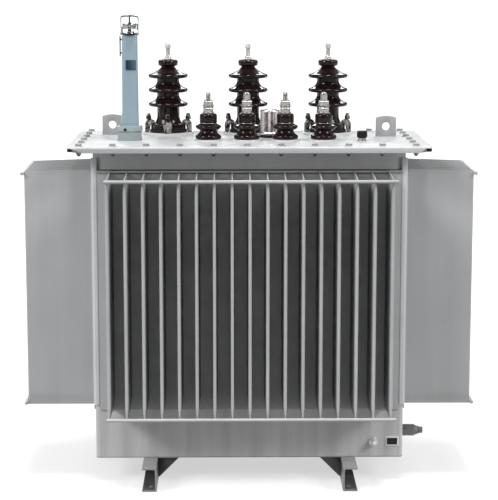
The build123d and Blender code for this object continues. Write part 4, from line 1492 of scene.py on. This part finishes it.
def riveted_plate(name, at, half, thick=1.4, rivet=1.6):
    """A thin plate on a wall that faces the front, with a rivet in each corner; half its size is in metres."""
    plate = block(name, at - Vector((half[0], thick * MM, half[1])), at + Vector((half[0], 0.0, half[1])))
    with editing(plate):
        ease(1.5, 3, lambda e: abs(e.verts[0].co.y - e.verts[1].co.y) > 1e-4)
        ease(0.4, 2)
    pieces = [plate]
    rivet_outline = [(0, 0), (rivet, 0), (rivet, 0.3, 0.2), (rivet * 0.6, 0.9, 0.4), (0, 1.1)]
    for side, up in CORNERS:
        spot = Vector((side * (half[0] - RIVET_IN * MM), -thick * MM, up * (half[1] - RIVET_IN * MM)))
        pieces.append(laid(turned("rivet", ORIGIN, rivet_outline, 12, 2), at + spot, TO_FRONT))
    return joined(name, pieces)


LABEL_BLUE, LABEL_RIM, LABEL_PALE = (0.02, 0.04, 0.07), (0.04, 0.065, 0.1), (0.12, 0.19, 0.26)
label_at, label_half = Vector((-0.3446, column_low.y + 0.0012, 1.214)), (0.0148, 0.0142)
label_paint = plate_finish("label_blue", LABEL_BLUE, LABEL_RIM, label_half, label_at, 0.0018, LABEL_PALE)
done(riveted_plate("gauge_label", label_at, label_half, 2.2), "gauge_paint", label_paint)

# %% [markdown]
# A thin guard strip stands off the gauge's head on two spacers, a small stiffener braces
# the tube where it meets the foot, and a black plug closes a hole in the foot.

# %% gauge strip, stiffener and plug
STRIP_LOW, STRIP_HIGH, STRIP_HALF = 1238.0, 1297.0, 9.0
head_x, head_y = column_low.x / MM + 1.4, column_at.y / MM
strip = block(
    "gauge_strip",
    mm(head_x - 7.5, head_y - STRIP_HALF, STRIP_LOW),
    mm(head_x - 4.5, head_y + STRIP_HALF, STRIP_HIGH),
)
with editing(strip):
    ease(0.8, 2)
pieces = [strip]
for level in (STRIP_LOW + 10, STRIP_HIGH - 10):
    spacer = rod("spacer", ORIGIN, 2.6 * MM, 8.5 * MM, 16)
    with editing(spacer):
        ease(0.5, 2)
    pieces.append(laid(spacer, mm(head_x - 8, head_y, level), TO_RIGHT))
done(joined("gauge_strip", pieces), "plated_steel", dark_steel)

STIFF_OUT, STIFF_HIGH = 9.0, 46.0
column_left = Vector((column_low.x, column_at.y, column_low.z))
stiffener = block("gauge_stiffener", column_left + mm(-STIFF_OUT, -3, 0), column_left + mm(4, 3, STIFF_HIGH))
with editing(stiffener):
    pick("VERT", lambda v: v.co.x < column_low.x - 0.008 and v.co.z > column_low.z + 0.04)
    bpy.ops.transform.translate(value=mm(STIFF_OUT, 0, 0))
    ease(0.8, 2)
# the stiffener takes the cover's lighter grey: painted light that lifts the column's shade on it
done(stiffener, "gauge_paint", cover_paint)

plug_outline = [(0, 0.2), (2.2, 0.2), (2.2, 1.6, 0.3), (4.0, 1.6, 0.6), (4.4, 0.0), (4.4, -2), (0, -2)]
plug_at = Vector((-0.3625, foot_low.y, foot_high.z - 0.0095))
gauge_plug = laid(turned("gauge_plug", ORIGIN, plug_outline, 20, 2), plug_at, TO_FRONT)
done(gauge_plug, "black_plastic", plastic)

# %% [markdown]
# Low on the right end is the drain valve, and low on the front the earth stud, with a bare
# plate beside it. Both are turned or six-sided pieces, laid on their sides.

# %% drain valve, earth stud and plate
def quarter_turn(piece):
    """Turn a six-sided piece so that a flat side lies on top once it is laid down."""
    with editing(piece):
        bpy.ops.transform.rotate(value=math.radians(90), orient_axis="Z", center_override=ORIGIN)


valve_low, valve_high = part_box("drain_valve")
valve_at = Vector((valve_low.x, (valve_low.y + valve_high.y) / 2, (valve_low.z + valve_high.z) / 2))
valve = joined("valve", [
    turned("neck", ORIGIN, [(0, 0), (16, 0, 0.5), (16, 3, 1), (13, 4, 1), (13, 17, 1), (0, 17)], 40, 2),
    hex_head("grip", mm(0, 0, 16), 18.5, 40.0, 1.6),
    turned("mouth", mm(0, 0, 55), [(0, 0), (15.4, 0), (12.5, 10.5, 1.5), (0, 11)], 40, 3),
])
quarter_turn(valve)
done(laid(valve, valve_at, TO_RIGHT), "tank_paint", skid_paint, "drain_valve", angle=40)
plug_at = Vector((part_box("drain_cap")[0].x, valve_at.y, valve_at.z))
plug = joined("plug", [
    washer("seat", ORIGIN, 12.0, 3.0),
    hex_head("plug_head", mm(0, 0, 3), 10.4, 11.5, 1.4),
])
quarter_turn(plug)
done(laid(plug, plug_at, TO_RIGHT), "tank_paint", skid_paint, "drain_cap")
valve_weld = ring_weld("valve_weld", ORIGIN, 15.5, 2.4)
done(laid(valve_weld, valve_at + mm(1, 0, 0), TO_RIGHT), "tank_paint", tank_paint, angle=60)

earth_low, earth_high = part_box("earth_stud")
earth_at = Vector(((earth_low.x + earth_high.x) / 2, earth_high.y, (earth_low.z + earth_high.z) / 2))
earth = joined("earth_bolt", [
    turned("boss", ORIGIN, [(0, 0), (13, 0), (13, 5, 1.2), (0, 5)], 32, 3),
    washer("washer", mm(0, 0, 5), 12.0, 2.0),
    hex_head("nut", mm(0, 0, 7), 10.4, 8.0),
    stud("stud", ORIGIN, 6.0, 26.0),
])
done(laid(earth, earth_at, TO_FRONT), "plated_steel", tinned, "earth_stud")

SIGN_BLACK, SIGN_RIM = (0.025, 0.025, 0.027), (0.85, 0.85, 0.83)
sign_at, sign_half = Vector((0.4195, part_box("tank_trough")[0].y, 0.118)), (0.0195, 0.0142)
sign_paint = plate_finish("sign_plate", SIGN_BLACK, SIGN_RIM, sign_half, sign_at, 0.0042)
done(riveted_plate("sign", sign_at, sign_half), "plated_steel", sign_paint)

# %% [markdown]
# Gussets stiffen the joint between the skids' backs and the tank's floor. Each is a thin plate: a cube whose lower
# inner corner is cut off by a slanting plane, a little larger than the bare CAD triangle, with eased edges. They
# sit in the shade under the tank, and their near-black paint is painted shade.

# %% gussets
GUSSET_REACH, GUSSET_DROP, GUSSET_TOE = 61.0, 61.0, 3.0
for side, name in ((-1, "left"), (1, "right")):
    low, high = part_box(f"skid_gussets_{name}")
    back = high.x if side > 0 else low.x
    tip = back - side * GUSSET_REACH * MM
    slope = Vector((-side * GUSSET_DROP, 0.0, -GUSSET_REACH)).normalized()
    toe = (tip, 0.0, high.z - GUSSET_TOE * MM)
    plates = []
    for y in (low.y, high.y - GUSSET_THICK):
        plate = block("gusset", (back, y, high.z - GUSSET_DROP * MM), (tip, y + GUSSET_THICK, high.z))
        with editing(plate):
            bpy.ops.mesh.bisect(plane_co=toe, plane_no=slope, use_fill=True, clear_outer=True)
            ease(0.8, 2)
        plates.append(plate)
    done(joined(f"gussets_{name}", plates), "tank_paint", shade_paint, f"skid_gussets_{name}")

# %% [markdown]
# What is left of the CAD model already has its final shape: the trough, its floor, the
# posts, the upper frame and the gasket. They only need their finishes.

# %% finishes of the CAD nodes
carried = {
    "tank_trough": trough_lit_and_shaded_paint, "tank_bottom": tank_paint, "upper_frame": frame_lit_paint,
    "front_corner_posts": post_highlight_paint, "back_corner_posts": post_highlight_paint,
    "cover_gasket": rubber,
}
for name, finish in carried.items():
    nodes[name].data.materials.clear()
    nodes[name].data.materials.append(finish)
print("carried over:", len(carried))
